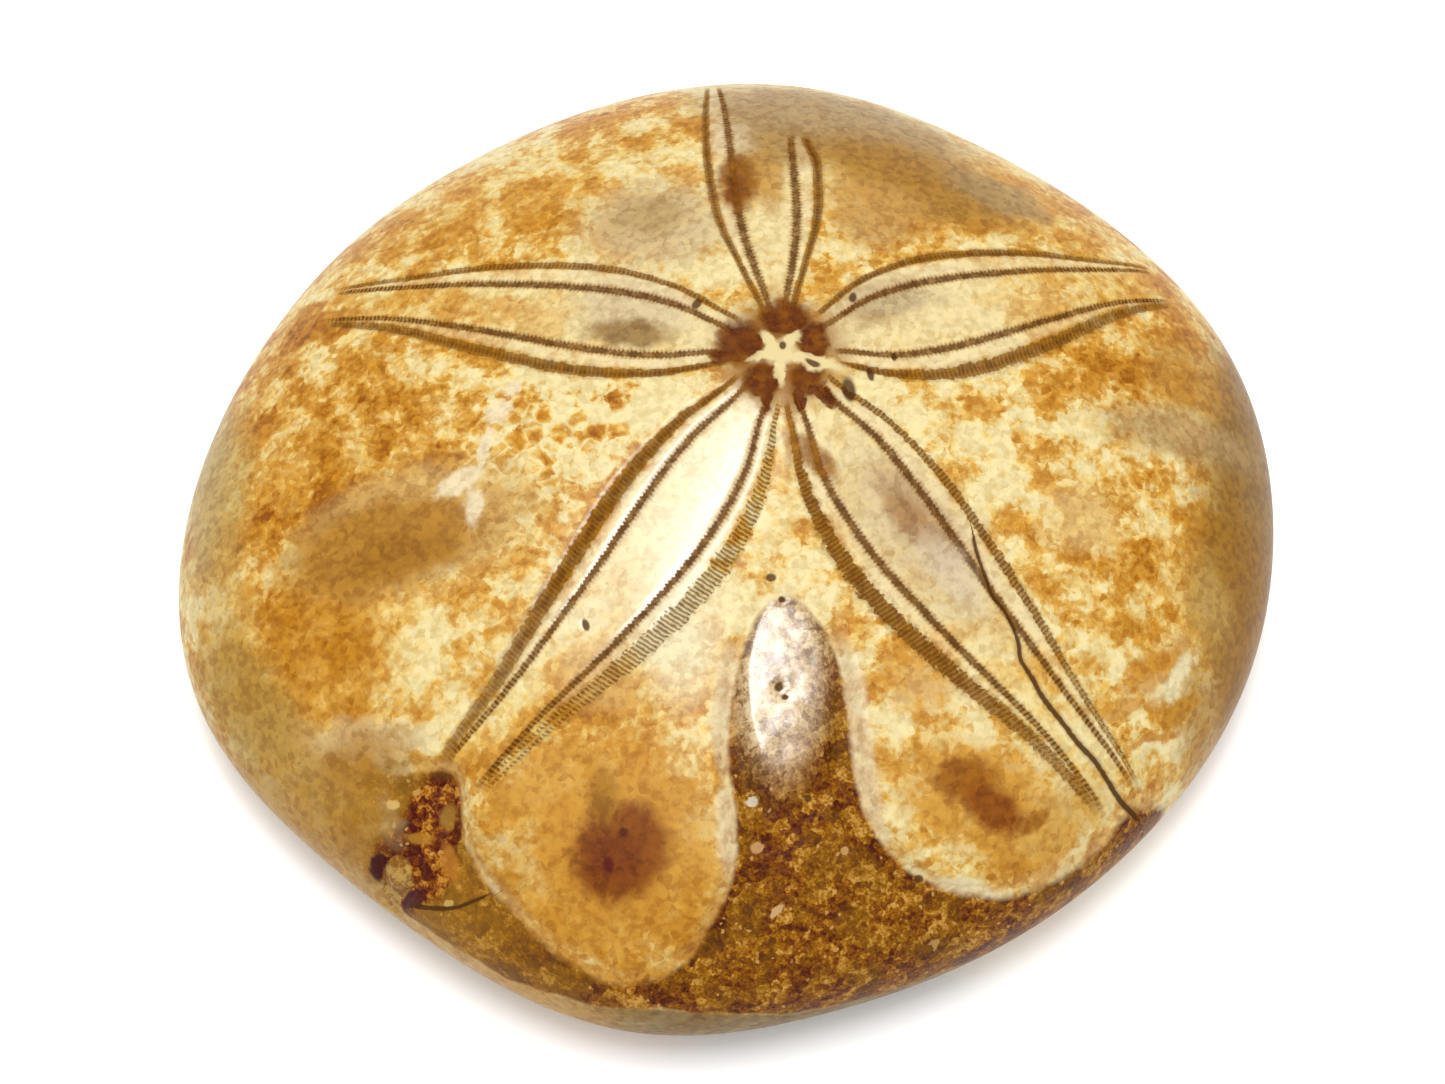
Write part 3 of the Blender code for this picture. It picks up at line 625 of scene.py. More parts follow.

# Stains in plan, and one painted highlight among them: x, y, radii, turn, softness, colour,
# strength.
STAINS_AND_HIGHLIGHT = (
    (-17.6, -5.0, 7.2, 3.7, 8, 0.25, (212, 178, 116), 0.6),
    (-19.4, -6.0, 5.8, 2.8, 8, 0.3, (182, 128, 50), 0.95),
    (-18.6, -6.6, 3.0, 1.3, 8, 0.5, (162, 108, 32), 0.6),
    (-22.3, -19.0, 3.6, 2.6, -25, 0.5, (186, 138, 60), 0.9),
    (-24.6, -15.6, 3.4, 1.1, -30, 0.5, (200, 158, 92), 0.75),
    (-19.8, -16.4, 3.2, 0.9, -10, 0.5, (220, 194, 148), 0.65),
    (-6.0, -23.5, 5.0, 4.6, 0, 0.45, (208, 148, 60), 0.85),
    (-10.6, -19.8, 2.4, 1.6, 30, 0.5, (216, 160, 74), 0.7),
    (28.5, -14.0, 3.0, 3.5, 40, 0.5, (178, 130, 62), 0.8),
    (-20.4, -17.6, 2.6, 1.6, 0, 0.5, (176, 124, 52), 0.7),
    (-20.6, -21.8, 2.4, 1.6, 0, 0.5, (168, 116, 42), 0.7),
    (-13.0, -23.6, 1.6, 2.4, 20, 0.5, (196, 140, 56), 0.4),
    (29.6, -10.4, 1.6, 3.2, 0, 0.5, (148, 110, 58), 0.8),
    (-28.8, -8.2, 1.6, 3.2, 0, 0.5, (206, 164, 90), 0.5),
    # painted highlight: a pale round between the left front petal and the ridge, carrying the
    # petal's highlight on over the shell
    (-2.7, -12.6, 2.0, 3.4, 0, 0.5, (246, 232, 194), 0.7),
    (-6.9, -14.6, 2.2, 1.8, 0, 0.5, (226, 184, 116), 0.6),
    (19.8, -4.6, 2.2, 1.8, 0, 0.5, (234, 202, 138), 0.6),
    (16.1, 17.7, 3.0, 1.8, 0, 0.5, (220, 186, 130), 0.5),
    (10.5, -14.6, 2.0, 1.6, 0, 0.5, (212, 152, 64), 0.7),
    (8.2, 14.2, 2.2, 1.8, 0, 0.5, (194, 146, 84), 0.8),
    (14.3, -20.4, 5.0, 2.6, -8, 0.4, (216, 160, 72), 0.8),
    (18.6, -20.4, 3.0, 1.2, 36, 0.5, (214, 166, 84), 0.7),
    (1.9, 18.4, 1.3, 3.2, 10, 0.4, (196, 142, 60), 0.85),
    (0.4, 21.6, 1.4, 1.8, 20, 0.5, (216, 196, 160), 0.8),
    (-5.5, 8.0, 3.2, 1.8, -10, 0.5, (216, 194, 156), 0.8),
    (-5.6, 6.2, 2.6, 0.9, -8, 0.4, (152, 116, 66), 0.9),
    (-4.3, 14.2, 4.2, 3.4, 0, 0.5, (212, 186, 142), 0.85),
    (-4.6, 14.9, 2.4, 1.5, 10, 0.5, (184, 150, 96), 0.7),
    (6.5, 23.6, 8.5, 3.8, -18, 0.35, (176, 144, 98), 0.92),
    (3.4, 20.6, 2.2, 1.8, 0, 0.5, (172, 132, 74), 0.8),
    (11.2, 18.4, 6.4, 2.9, -22, 0.35, (174, 126, 54), 0.92),
    (8.6, 16.0, 3.6, 2.0, -20, 0.5, (204, 156, 88), 0.7),
    (15.8, 18.4, 3.4, 1.5, -26, 0.4, (176, 144, 96), 0.8),
    (30.6, 1.0, 2.8, 11.0, 0, 0.4, (152, 112, 50), 0.95),
    (26.8, 6.4, 2.6, 2.6, 0, 0.5, (190, 138, 62), 0.7),
    (25.8, 2.2, 4.4, 1.7, 5, 0.5, (188, 156, 108), 0.8),
    (10.6, -6.6, 6.4, 2.8, -50, 0.5, (210, 184, 142), 0.65),
    (10.6, -5.4, 3.4, 1.3, -50, 0.4, (190, 156, 116), 0.85),
    (8.6, 8.4, 2.4, 1.5, 20, 0.5, (172, 134, 84), 0.75),
    (-30.6, 2.0, 1.2, 8.0, 0, 0.5, (204, 178, 128), 0.7),
    (-26.5, -18.0, 1.6, 3.4, 45, 0.5, (196, 148, 72), 0.7),
    (9.5, 8.6, 2.8, 0.9, 12, 0.5, (204, 184, 144), 0.7),
    (-29.5, 0.0, 1.8, 5.5, 0, 0.5, (194, 164, 98), 0.6),
    (-27.5, -13.0, 2.0, 4.5, 34, 0.5, (182, 144, 70), 0.75),
    (30.0, -8.0, 3.0, 8.0, 12, 0.4, (160, 112, 40), 0.9),
    (27.3, -7.6, 1.4, 2.6, 0, 0.5, (194, 158, 90), 0.7),
    (24.0, -12.0, 2.8, 0.7, 42, 0.4, (206, 142, 54), 0.75),
    (25.7, -13.5, 1.7, 0.4, 40, 0.3, (198, 140, 48), 0.85),
    (21.9, -14.8, 1.5, 0.4, 28, 0.3, (210, 150, 66), 0.85),
    (23.8, -15.7, 2.0, 0.3, 34, 0.3, (206, 142, 56), 0.85),
    (25.2, -12.3, 1.9, 0.6, 48, 0.4, (244, 230, 188), 0.8),
)
# The same for the small marks, which keep sharper edges.
SPOTS = (
    (-6.0, -23.7, 2.7, 2.4, 20, 0.25, (140, 76, 14), 0.95),
    (-6.4, -24.0, 1.5, 1.2, 0, 0.4, (118, 54, 4), 0.6),
    (-6.9, -20.9, 0.8, 1.4, 0, 0.5, (166, 114, 40), 0.8),
    (12.9, -19.5, 1.8, 1.1, 10, 0.35, (158, 96, 26), 0.95),
    (14.6, -20.8, 1.8, 1.0, -14, 0.35, (144, 78, 12), 0.95),
    (0.5, 17.4, 1.15, 2.4, 0, 0.35, (150, 94, 26), 0.95),
    (0.4, 16.8, 0.6, 1.2, 0, 0.5, (120, 66, 10), 0.8),
    (10.3, -5.7, 2.2, 0.8, -48, 0.4, (170, 128, 82), 0.85),
    (12.2, -8.2, 2.2, 1.1, -50, 0.5, (222, 204, 178), 0.6),
    (4.8, -2.0, 1.7, 0.7, -50, 0.4, (154, 100, 34), 0.9),
    (3.4, -0.6, 0.4, 2.4, 0, 0.5, (176, 122, 50), 0.7),
)
MARKS = (
    (-19.6, -22.4, 0.60, 0.50, 0, 0.2, (74, 24, 0), 0.95),
    (-17.6, -24.2, 0.80, 0.42, -10, 0.2, (82, 18, 0), 0.95),
    (-18.8, -19.7, 0.40, 0.28, -20, 0.2, (226, 186, 112), 0.9),
    (-17.4, -19.2, 0.22, 0.20, 0, 0.2, (206, 160, 84), 0.9),
    (-15.6, -24.9, 0.28, 0.16, 0, 0.2, (214, 176, 100), 0.9),
    (-15.6, -20.7, 0.50, 0.62, 0, 0.3, (174, 128, 56), 0.8),
    (-15.5, -23.0, 0.45, 1.00, 15, 0.3, (192, 124, 44), 0.8),
    (-17.2, -21.6, 0.80, 0.30, -10, 0.3, (196, 138, 50), 0.7),
    (-6.6, -24.3, 0.30, 0.40, 20, 0.3, (96, 20, 4), 0.8),
    (-5.8, -22.8, 0.20, 0.18, 0, 0.3, (104, 44, 10), 0.8),
    (17.0, -21.0, 1.0, 0.35, 40, 0.3, (166, 104, 36), 0.8),
    (1.2, -21.0, 0.36, 0.24, 0, 0.2, (240, 226, 200), 0.8),
    (1.5, -23.3, 0.34, 0.30, 0, 0.2, (220, 168, 112), 0.8),
    (2.6, -26.3, 0.46, 0.22, 35, 0.2, (224, 180, 124), 0.9),
    (6.3, -23.3, 0.24, 0.20, 0, 0.2, (220, 166, 104), 0.8),
    (11.4, -27.0, 0.30, 0.18, 20, 0.2, (206, 160, 92), 0.8),
)
# The white vein beside the left stain, and the dark red block at the left lobe's shoulder.
VEIN = ((-13.1, 1.7, 0.7, 0.8, 0), (-13.9, -0.7, 1.5, 0.30, 74), (-15.2, -2.6, 1.5, 0.6, 28),
        (-14.4, -4.2, 0.55, 1.2, 0), (-12.4, 3.0, 0.5, 0.4, 30))
CHUNK = ((-16.3, -20.7, 1.8, 2.2, 0), (-17.9, -22.6, 2.7, 2.0, 30), (-16.5, -22.8, 1.4, 1.8, 0))
PLATED = (-10.0, 0.0, 6.0, 5.0, 20)  # where single plates stand out
# Where the pale hem of the shell is wide.
WIDE_HEM = ((7.3, -17.5, 1.6, 5.6, 4), (13.8, -24.8, 3.2, 0.55, -4), (-0.4, -16.0, 1.0, 3.6, 0),
            (-0.2, -22.6, 1.2, 2.0, 0))
PLAIN_HEM = (-5.5, -28.5, 6.5, 4.0, 0)  # where it hardly shows
# Where the polish is brightest: on the left front petal and on the ridge between the lobes. On the
# ridge the colour is also painted paler, partly its own tone and partly a painted highlight.
POLISHED = (-4.0, -5.5, 9.5, 4.5, 52)
RIDGE_GLOSS_AND_HIGHLIGHT = (2.7, -14.3, 3.0, 6.0, -12)
CROWN_RING = (2.9, 4.7, 3.5, 3.5, 0)  # the brown round that the pockets and the star lie in
# The pale star between the pockets: its middle and its five arms.
STAR = ((2.85, 4.70, 0.95, 0.85, 0), (2.40, 5.30, 0.95, 0.36, -56), (3.35, 5.35, 0.95, 0.36, 50),
        (4.70, 4.15, 2.00, 0.45, -17), (2.90, 3.60, 1.10, 0.34, -84), (2.05, 4.55, 0.95, 0.38, 12))


class Palette:
    """Short ways to lay shader nodes in one material."""

    def __init__(self, material):
        material.use_nodes = True
        self.nodes = material.node_tree.nodes
        self.links = material.node_tree.links
        self.shader = self.nodes["Principled BSDF"]

    def add(self, kind, inputs=(), **settings):
        node = self.nodes.new(kind)
        for key, value in settings.items():
            setattr(node, key, value)
        for key, value in dict(inputs).items():
            self.put(node.inputs[key], value)
        return node

    def put(self, socket, value):
        if isinstance(value, bpy.types.NodeSocket):
            self.links.new(value, socket)
        else:
            socket.default_value = value

    def math(self, operation, *values):
        return self.add("ShaderNodeMath", enumerate(values), operation=operation).outputs[0]

    def times(self, first, *others):
        for other in others:
            first = self.math("MULTIPLY", first, other)
        return first

    def plus(self, first, *others):
        for other in others:
            first = self.math("ADD", first, other)
        return first

    def swing(self, value, size):
        """A pattern of 0 to 1 as a change of about minus to plus half the size."""
        return self.math("MULTIPLY_ADD", value, size, -0.5 * size)

    def flip(self, value):
        return self.math("SUBTRACT", 1.0, value)

    def ease(self, value, low, high, start=0.0, stop=1.0):
        """Smooth change from start to stop while the value goes from low to high."""
        node = self.add("ShaderNodeMapRange", interpolation_type="SMOOTHSTEP", inputs={
            "Value": value, "From Min": low, "From Max": high, "To Min": start, "To Max": stop})
        return node.outputs["Result"]

    def mix(self, factor, below, above, how="MIX"):
        """Two colours mixed: the mix node's colour sockets are 6, 7 and 2."""
        node = self.add("ShaderNodeMix", {0: factor, 6: below, 7: above},
                        data_type="RGBA", blend_type=how)
        return node.outputs[2]

    def between(self, factor, low, high):
        return self.add("ShaderNodeMix", {0: factor, 2: low, 3: high}, data_type="FLOAT").outputs[0]

    def noise(self, place, size, detail=3.0, roughness=0.5, output="Fac"):
        node = self.add("ShaderNodeTexNoise", {
            "Vector": place, "Scale": 1.0 / size, "Detail": detail, "Roughness": roughness})
        return node.outputs[output]

    def cells(self, place, size, feature="F1"):
        inputs = {"Vector": place, "Scale": 1.0 / size}
        return self.add("ShaderNodeTexVoronoi", inputs, feature=feature)

    def number(self, name):
        return self.add("ShaderNodeAttribute", attribute_name=name).outputs["Fac"]

    def numbers(self, name):
        return self.split(self.add("ShaderNodeAttribute", attribute_name=name).outputs["Color"])

    def split(self, colour):
        return self.add("ShaderNodeSeparateColor", {"Color": colour}).outputs

    def shifted(self, place, size, amount):
        """The place moved about by a noise, so that what is laid by it gets ragged edges."""
        wander = self.noise(place, size, 4.0, output="Color")
        offset = self.add("ShaderNodeVectorMath", {0: wander, 1: (0.5,) * 3}, operation="SUBTRACT")
        node = self.add("ShaderNodeVectorMath", {0: offset.outputs[0], 1: (amount,) * 3, 2: place},
                        operation="MULTIPLY_ADD")
        return node.outputs[0]

    def ramp(self, value, stops):
        node = self.add("ShaderNodeValToRGB", {"Fac": value})
        elements = node.color_ramp.elements
        while len(elements) < len(stops):
            elements.new(0.5)
        for element, (position, colour) in zip(elements, stops):
            element.position = position
            element.color = colour
        return node.outputs["Color"]

    def round(self, place, x, y, rx, ry, turn, soft):
        """1 inside a soft-edged ellipse in plan, 0 outside."""
        full = 1.0 + soft  # where the edge has faded out
        node = self.add("ShaderNodeMapping", vector_type="TEXTURE", inputs={
            "Vector": place, "Location": (x, y, 0.0), "Rotation": (0, 0, math.radians(turn)),
            "Scale": (rx * full, ry * full, 1e3)})
        ball = self.add("ShaderNodeTexGradient", {"Vector": node.outputs["Vector"]},
                        gradient_type="SPHERICAL")
        return self.ease(ball.outputs["Fac"], 0.0, 1.0 - (1.0 - soft) / full)

    def rounds(self, place, shapes, soft):
        """1 inside any of the soft-edged ellipses."""
        inside = 0.0
        for shape in shapes:
            inside = self.math("MAXIMUM", inside, self.round(place, *shape, soft))
        return inside

    def stain(self, colour, place, marks, above=1.0):
        for *shape, shade, strength in marks:
            here = self.times(self.round(place, *shape), strength, above)
            colour = self.mix(here, colour, tint(*shade))
        return colour


class Patterns:
    """The patterns and fields that colour, gloss and relief share."""

    def __init__(self, p):
        raw = p.add("ShaderNodeTexCoord").outputs["Object"]
        millimetres = {"Vector": raw, "Scale": (1 / MM,) * 3}
        self.place = p.add("ShaderNodeMapping", millimetres).outputs[0]
        self.broad_place = p.shifted(self.place, 1.6, 1.7)
        self.near_place = p.shifted(self.place, 0.5, 0.45)
        self.ragged_place = p.shifted(self.near_place, 0.9, 0.9)
        self.band, self.line, self.run = p.numbers("pores")
        self.out, self.keep, self.ribs = p.numbers("petal")
        self.edge, self.crack, self.tongue = p.numbers("front")
        self.fine = p.noise(self.place, FINE_SIZE, 4.0, 0.6)
        self.dabs = p.split(p.cells(self.near_place, DAB_SIZE).outputs["Color"])
        self.ink, self.cream, self.warmth = p.numbers("tints")
        self.wander = p.noise(self.place, 0.35, 2.0)
        self.patchy = p.noise(self.place, 2.0)
        self.level = p.number("level")
        self.top = p.ease(self.level, -3.0, 0.0)
        self.upper = p.ease(p.plus(self.level, p.swing(self.patchy, 50.0)), -45.0, -5.0)
        self.x = p.add("ShaderNodeSeparateXYZ", {"Vector": self.place}).outputs["X"]


def shell_colour(p, q):
    """Cream and ochre shell with its plates and stains. Returns colour and the petals' insides."""
    broad = p.noise(q.place, 5.0, 3.0, 0.55)
    patches = p.ease(p.noise(q.broad_place, 2.4, 4.0, 0.6), 0.40, 0.60)
    plates = p.cells(q.near_place, PLATE_SIZE)
    seams = p.cells(q.near_place, PLATE_SIZE, "DISTANCE_TO_EDGE").outputs["Distance"]
    plated = p.round(q.broad_place, *PLATED, 0.5)
    change = p.plus(p.swing(broad, 0.8), p.swing(patches, 0.40), p.swing(q.fine, 0.36),
                    p.times(p.swing(p.split(plates.outputs["Color"])[0], 0.55),
                            p.between(plated, 0.36, 1.0)),
                    p.swing(q.dabs[0], 0.26))
    inside = p.times(p.ease(q.band, -3.0, -0.6, 1.0, 0.0), q.keep)
    vivid = p.flip(p.math("MAXIMUM", p.number("calm"), p.times(inside, 0.4)))
    tone = p.plus(q.warmth, p.times(change, vivid))
    tone = p.math("SUBTRACT", tone, p.times(p.ease(seams, 0.04, 0.19, 1.0, 0.0),
                                            p.between(plated, 0.03, 0.28)))
    pale = p.times(inside, q.cream, p.ease(q.out, 0.85, 0.35, 0.0, 1.0))
    tone = p.math("SUBTRACT", tone, p.times(pale, 0.35))
    colour = p.mix(pale, p.ramp(tone, SHELL), PETAL_CREAM)
    colour = p.stain(colour, q.broad_place, STAINS_AND_HIGHLIGHT, q.upper)
    vein = p.times(p.rounds(q.ragged_place, VEIN, 0.35), q.top)
    colour = p.mix(p.times(vein, 0.9), colour, VEIN_WHITE)
    return colour, inside


def pore_marks(p, q, colour):
    """Ribbed outer bands and thin inner lines of the petals. Returns colour, relief and place."""
    across = p.math("ABSOLUTE", q.band)
    rough_edge = p.swing(q.wander, 0.9)
    run = p.plus(q.run, p.times(q.wander, 0.16), p.times(q.band, 0.03))
    wave = p.math("SINE", p.times(run, math.tau / RIB_PITCH))
    ribs = p.ease(p.plus(wave, p.swing(q.wander, 1.6)), -0.7, 0.7)
    to_tip = p.ease(q.out, 0.66, 0.88)
    spread = p.plus(across, rough_edge, p.times(q.ribs, p.swing(p.noise(q.place, 0.22, 1.0), 1.4)))
    in_band = p.times(p.ease(spread, 0.8, 1.15, 1.0, 0.0), q.keep)
    strip = p.times(p.ease(q.line, 0.8, 1.6), p.ease(q.band, -1.6, -1.1, 1.0, 0.0), q.keep)
    colour = p.mix(p.times(strip, 0.30), colour, STRIP_CREAM)
    halo = p.times(p.ease(spread, 0.9, 1.9, 1.0, 0.0), q.keep, q.ink)
    colour = p.mix(p.times(halo, 0.55), colour, PORE_BROWN)
    wash = p.times(in_band, q.ink, p.flip(p.times(to_tip, 0.35)))
    colour = p.mix(wash, colour, PORE_BROWN)
    core = p.ease(across, 0.15, 0.75, 1.0, 0.0)
    rows = p.ease(p.math("ABSOLUTE", p.math("SUBTRACT", across, 0.55)), 0.15, 0.45, 1.0, 0.0)
    ribbed = p.times(ribs, p.between(to_tip, 0.85, rows))
    lined = p.times(core, p.between(ribs, 0.6, 1.0))
    strength = p.times(p.between(q.ink, 0.85, 0.6), p.between(to_tip, 1.0, 0.8))
    dark = p.times(in_band, p.between(q.ribs, lined, ribbed), strength)
    colour = p.mix(dark, colour, PORE_DARK)
    line_edge = p.plus(p.math("ABSOLUTE", q.line), p.times(rough_edge, 1.6), p.swing(ribs, -0.35))
    line_halo = p.times(p.ease(line_edge, 0.8, 2.3, 1.0, 0.0), q.keep)
    colour = p.mix(p.times(line_halo, 0.75), colour, PORE_BROWN)
    in_line = p.times(p.ease(line_edge, 0.6, 1.2, 1.0, 0.0), q.keep)
    worn_beads = p.ease(q.fine, 0.30, 0.55, 0.5, 1.0)
    beads = p.times(p.between(to_tip, 0.75, p.times(ribs, 0.85)), worn_beads)
    colour = p.mix(p.times(in_line, beads), colour, PORE_DARK)
    groove = p.plus(p.times(in_line, -0.05), p.times(in_band, -0.03), p.times(in_band, ribs, -0.03))
    return colour, groove, p.math("MAXIMUM", in_line, in_band)


def filling_colour(p, q):
    """Brown rock filling with its dark red block. Returns colour, grain and the ridge's mask, which
    carries its gloss and its painted highlight.
    """
    broad = p.noise(q.place, 2.6, 2.0)
    grain = p.cells(q.near_place, GRAIN_SIZE)
    flakes = p.split(p.cells(q.ragged_place, FLAKE_SIZE).outputs["Color"])
    chip = p.split(grain.outputs["Color"])
    coarse = p.noise(q.near_place, 0.5, 4.0, 0.65)
    calm = p.between(q.tongue, 1.0, 0.6)
    change = p.plus(p.swing(coarse, 1.1), p.swing(chip[0], 0.40), p.swing(flakes[0], 0.44),
                    p.swing(p.noise(q.place, 0.17, 2.0), 0.8))
    tone = p.plus(0.48, p.swing(broad, 0.45), p.times(change, calm))
    colour = p.ramp(tone, FILLING)
    olive = p.ease(p.noise(q.place, 2.2, 2.0), 0.45, 0.60, 0.0, 0.25)
    colour = p.mix(olive, colour, FILLING_OLIVE)
    ridge_gloss_and_highlight = p.times(q.tongue, p.round(q.near_place, *RIDGE_GLOSS_AND_HIGHLIGHT, 0.5))
    # painted highlight: the ridge is painted paler, partly its own tone and partly standing in for
    # its highlight
    colour = p.mix(p.times(ridge_gloss_and_highlight, 0.9), colour, p.ramp(tone, RIDGE_TONE_AND_HIGHLIGHT))
    red = p.rounds(q.near_place, CHUNK, 0.2)
    colour = p.mix(p.times(red, 0.85), colour, p.ramp(tone, RED_BLOCK))
    left = p.times(p.ease(q.x, -19.0, -3.0, 0.55, 0.0), p.flip(red))
    colour = p.mix(left, colour, FILLING_OCHRE)
    specks = p.times(p.ease(chip[1], 0.95, 0.96),
                     p.ease(grain.outputs["Distance"], 0.30, 0.42, 1.0, 0.0))
    return p.mix(p.times(specks, 0.85), colour, FILLING_SPECK), tone, ridge_gloss_and_highlight


def dress_stone(stone):
    """The one material: shell over filling, with gloss and fine relief from the same patterns."""
    material = bpy.data.materials.new("polished_fossil")
    stone.data.materials.clear()
    stone.data.materials.append(material)
    p = Palette(material)
    q = Patterns(p)

    shell, inside = shell_colour(p, q)
    shell, groove, pores = pore_marks(p, q, shell)
    ragged = p.plus(q.edge, p.swing(p.noise(q.place, 0.9, 3.0), 0.35))
    wide = p.rounds(q.near_place, WIDE_HEM, 0.4)
    from_hem = p.math("SUBTRACT", ragged, p.between(wide, -0.40, -1.05))
    hem = p.times(p.ease(from_hem, -0.35, 0.25), p.between(wide, 0.22, 0.85),
                  p.ease(q.x, -18.0, -15.0), p.ease(q.fine, 0.2, 0.6, 1.0, 0.7),
                  p.between(p.round(q.near_place, *PLAIN_HEM, 0.5), 1.0, 0.2), q.upper)
    shell = p.mix(hem, shell, EDGE_CREAM)
    above_stop = p.plus(p.number("above_stop"), p.swing(q.patchy, 4.0))
    stop = p.ease(above_stop, -0.8, 0.8)
    fade = p.ease(p.plus(q.x, p.swing(q.patchy, 6.0)), -21.8, -18.4)
    bare = p.times(p.ease(ragged, -0.22, 0.18), stop, fade)
    below = p.times(p.ease(q.edge, -0.2, 0.4), p.flip(stop), p.ease(q.level, -68.0, -50.0))
    rim = p.mix(p.ease(q.x, -10.0, -4.0), RIM_TAN, RIM_GREY)
    shell = p.mix(p.times(below, p.between(q.patchy, 0.75, 1.0)), shell, rim)
    filling, grain, ridge_gloss_and_highlight = filling_colour(p, q)
    colour = p.mix(bare, shell, filling)

    colour = p.stain(colour, q.ragged_place, SPOTS, q.top)
    colour = p.stain(colour, q.near_place, MARKS, q.top)
    mottle = p.noise(q.near_place, 1.0, 3.0)
    flecks = p.ramp(p.plus(q.fine, p.swing(q.dabs[1], 0.40), p.swing(mottle, 0.40)), FLECKS)
    colour = p.mix(p.between(bare, 0.8, 0.0), colour, flecks, "SOFT_LIGHT")
    pebble = p.times(p.round(q.near_place, *PEBBLE, 0.12), q.top)
    colour = p.mix(pebble, colour, p.ramp(grain, PEBBLE_BROWN))

    ring = p.times(p.round(q.ragged_place, *CROWN_RING, 0.40), q.top)
    colour = p.mix(p.times(ring, 0.95), colour, RING_BROWN)
    pocket = p.times(p.rounds(q.ragged_place, POCKETS, 0.25), q.top)
    murk = p.plus(p.noise(q.near_place, 0.9, 3.0), p.swing(q.dabs[2], 0.25))
    colour = p.mix(p.times(pocket, 0.95), colour, p.ramp(murk, POCKET_BROWN))
    star = p.times(p.rounds(q.ragged_place, STAR, 0.3), q.top)
    colour = p.mix(p.times(star, 0.95), colour, STAR_CREAM)
    pocket = p.times(pocket, p.flip(star))
    pit = p.times(p.rounds(q.place, [pit[:5] for pit in PITS], 0.3), q.top)
    colour = p.mix(p.times(pit, 0.9), colour, PIT_BROWN)
    colour = p.mix(p.ease(p.number("mouth"), 0.2, 0.6), colour, filling)
    finer = p.ease(q.x, 15.0, 18.0, 0.05, 0.0)  # the crack starts as a hair
    thin = p.plus(p.math("ABSOLUTE", q.crack), p.swing(q.wander, 0.12), finer)
    colour = p.mix(p.times(p.ease(thin, 0.12, 0.36, 0.5, 0.0), q.top), colour, PORE_BROWN)
    crack = p.times(p.ease(thin, 0.11, 0.19, 1.0, 0.0), q.top)
    fissure = p.plus(p.math("ABSOLUTE", p.number("fissure")), p.swing(q.wander, 0.08))
    crack = p.math("MAXIMUM", crack, p.times(p.ease(fissure, 0.05, 0.11, 1.0, 0.0), q.top))
    colour = p.mix(p.times(crack, 0.9), colour, CRACK_BROWN)
    p.put(p.shader.inputs["Base Color"], colour)

    worn = p.noise(q.place, 1.3, 3.0)
    rough = p.plus(SHELL_ROUGHNESS, p.times(worn, 0.16), p.times(inside, -0.08),
                   p.times(pores, 0.15))
    rough_filling = p.plus(FILLING_ROUGHNESS, p.times(grain, 0.22), p.times(q.tongue, -0.10))
    dull = p.math("MAXIMUM", p.math("MAXIMUM", pocket, pit), p.math("MAXIMUM", pores, crack))
    p.put(p.shader.inputs["Roughness"], p.plus(p.between(bare, rough, rough_filling),
                                               p.times(dull, DULL_ROUGHNESS)))
    polished = p.times(p.round(q.place, *POLISHED, 0.4), p.between(inside, 0.5, 1.0), q.top)
    shine = p.times(p.math("MAXIMUM", polished, p.times(ridge_gloss_and_highlight, bare)), STRONG_COAT)
    thin_coat = p.times(p.flip(bare), THIN_COAT)
    p.put(p.shader.inputs["Coat Weight"], p.times(p.plus(shine, thin_coat), p.flip(dull)))
    p.shader.inputs["Coat Roughness"].default_value = COAT_ROUGHNESS
    p.shader.inputs["Coat IOR"].default_value = COAT_IOR
    p.shader.inputs["Specular IOR Level"].default_value = UNDER_COAT_SPECULAR

    rock = p.times(p.ease(q.edge, 0.0, 0.4), q.upper)
    grain_depth = p.between(rock, SHELL_GRAIN_DEPTH, ROCK_GRAIN_DEPTH)
    crinkle = p.noise(q.place, CRINKLE_SIZE, 3.0)
    height = p.plus(p.times(q.fine, grain_depth), p.times(worn, WORN_DEPTH), groove,
                    p.times(q.tongue, bare, crinkle, RIDGE_CRINKLE),
                    p.times(polished, crinkle, POLISH_RIPPLE))
    relief = p.add("ShaderNodeBump", {"Height": height, "Strength": 1.0, "Distance": MM})
    p.put(p.shader.inputs["Normal"], relief.outputs["Normal"])


# --- studio -------------------------------------------------------------------------------
FLOOR_SIZE = 4.0  # metres, as are the lamps' places and sizes below
FLOOR_WHITE = (0.97, 0.97, 0.97, 1.0)
ROOM_WHITE = (0.97, 0.985, 1.0, 1.0)
ROOM_STRENGTH = 0.80
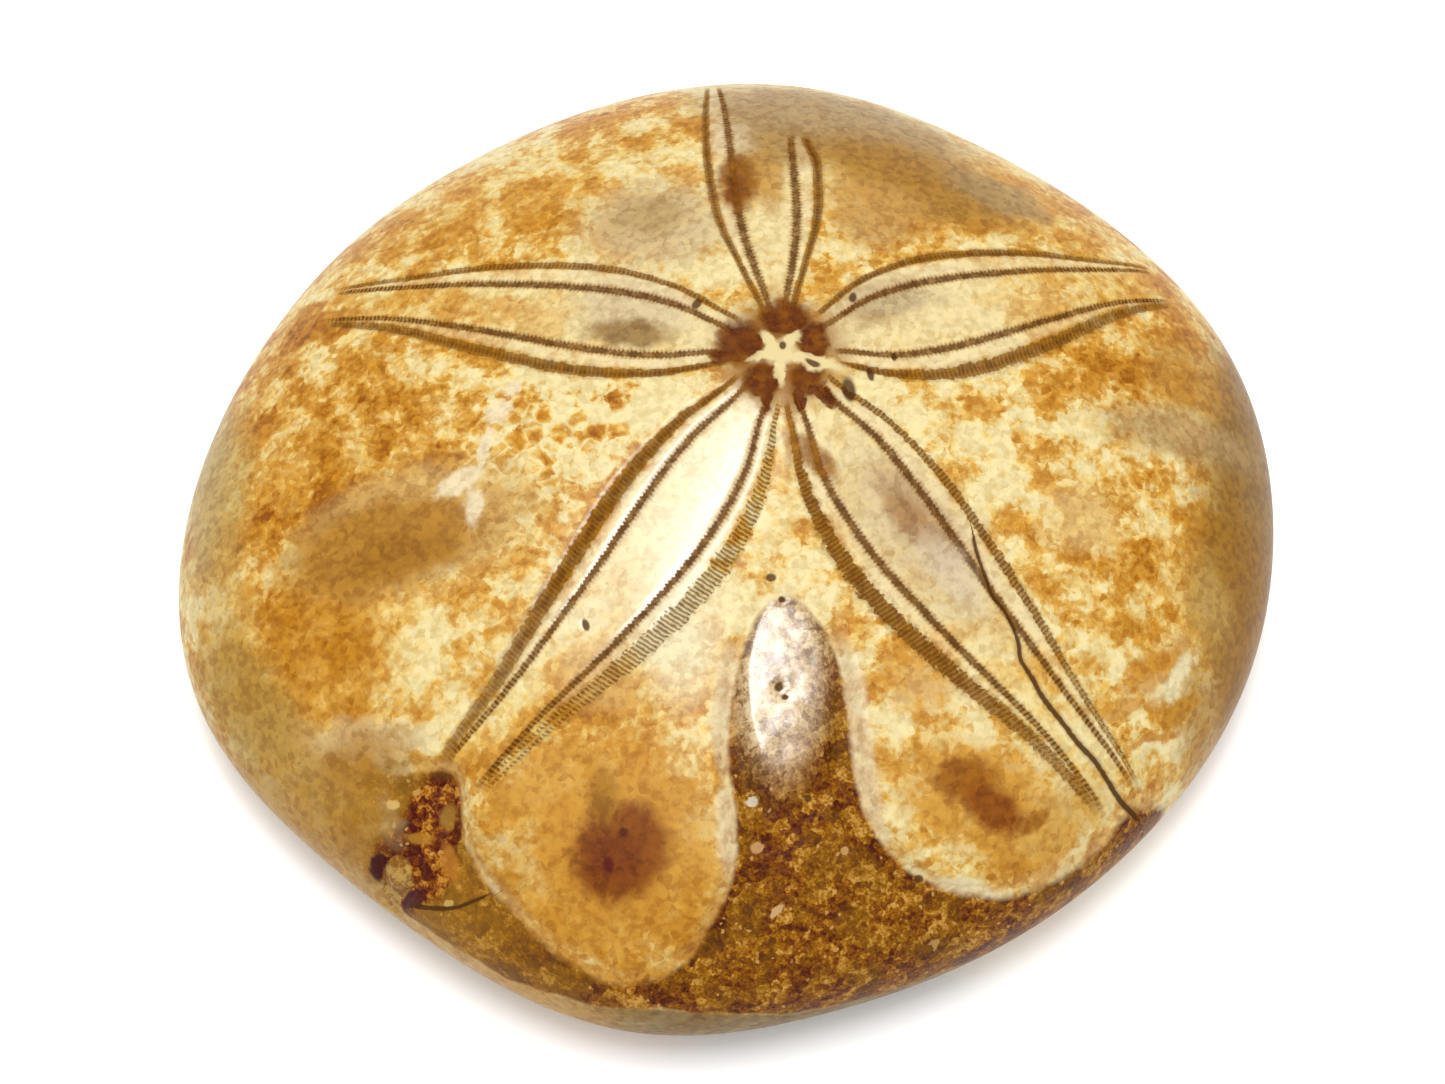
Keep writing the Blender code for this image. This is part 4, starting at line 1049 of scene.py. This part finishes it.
# Each lamp's name, place, size, watts and turn about its own axis.
LAMPS = (
    ("overhead_softbox", (0.0, 0.02, 0.62), (0.90, 0.90), 2.6, 0.0),
    ("petal_striplight", (-0.030, 0.167, 0.57), (0.060, 0.20), 0.52, -38.0),
    ("front_striplight", (0.0, -0.042, 0.598), (0.14, 0.24), 1.4, 0.0),
)
CAMERA_RISE = 62.0  # degrees above the floor
CAMERA_DISTANCE = 220.0
CAMERA_AIM = (-0.38, -0.13, 5.0)
CAMERA_LENS = 91.92
FILM_WIDTH = 36.0


def lay_floor():
    bpy.ops.object.select_all(action="DESELECT")
    bpy.ops.mesh.primitive_plane_add(size=FLOOR_SIZE, location=(0, 0, 0))
    floor = bpy.context.object
    floor.name = "floor"
    paper = bpy.data.materials.new("white_paper")
    p = Palette(paper)
    p.shader.inputs["Base Color"].default_value = FLOOR_WHITE
    p.shader.inputs["Roughness"].default_value = 0.9
    floor.data.materials.append(paper)


def soft_light(name, place, size, energy, turn):
    """A rectangle of light that faces the stone, turned about its own axis."""
    bpy.ops.object.light_add(type="AREA", location=place)
    lamp = bpy.context.object
    lamp.name = name
    lamp.data.shape = "RECTANGLE"
    lamp.data.size, lamp.data.size_y = size
    lamp.data.energy = energy
    facing = (-Vector(place)).to_track_quat("-Z", "Y")
    lamp.rotation_euler = (facing @ Quaternion((0.0, 0.0, 1.0), math.radians(turn))).to_euler()


def light_studio():
    world = bpy.data.worlds.new("white_room")
    bpy.context.scene.world = world
    world.use_nodes = True
    background = world.node_tree.nodes["Background"]
    background.inputs["Color"].default_value = ROOM_WHITE
    background.inputs["Strength"].default_value = ROOM_STRENGTH
    for lamp in LAMPS:
        soft_light(*lamp)


def set_camera():
    rise = math.radians(CAMERA_RISE)
    aim = Vector(CAMERA_AIM) * MM
    place = aim + Vector((0.0, -math.cos(rise), math.sin(rise))) * CAMERA_DISTANCE * MM
    bpy.ops.object.camera_add(location=place)
    camera = bpy.context.object
    camera.rotation_euler = (aim - place).to_track_quat("-Z", "Y").to_euler()
    camera.data.lens = CAMERA_LENS
    camera.data.sensor_width = FILM_WIDTH
    camera.data.sensor_fit = "HORIZONTAL"
    camera.data.clip_start = 0.01
    bpy.context.scene.camera = camera


set_camera()
light_studio()
lay_floor()
bpy.context.scene.view_settings.view_transform = "Standard"

bpy.ops.object.select_all(action="DESELECT")
stone = make_stone()
dress_stone(stone)
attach(stone, "root")
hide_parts("sea_urchin")
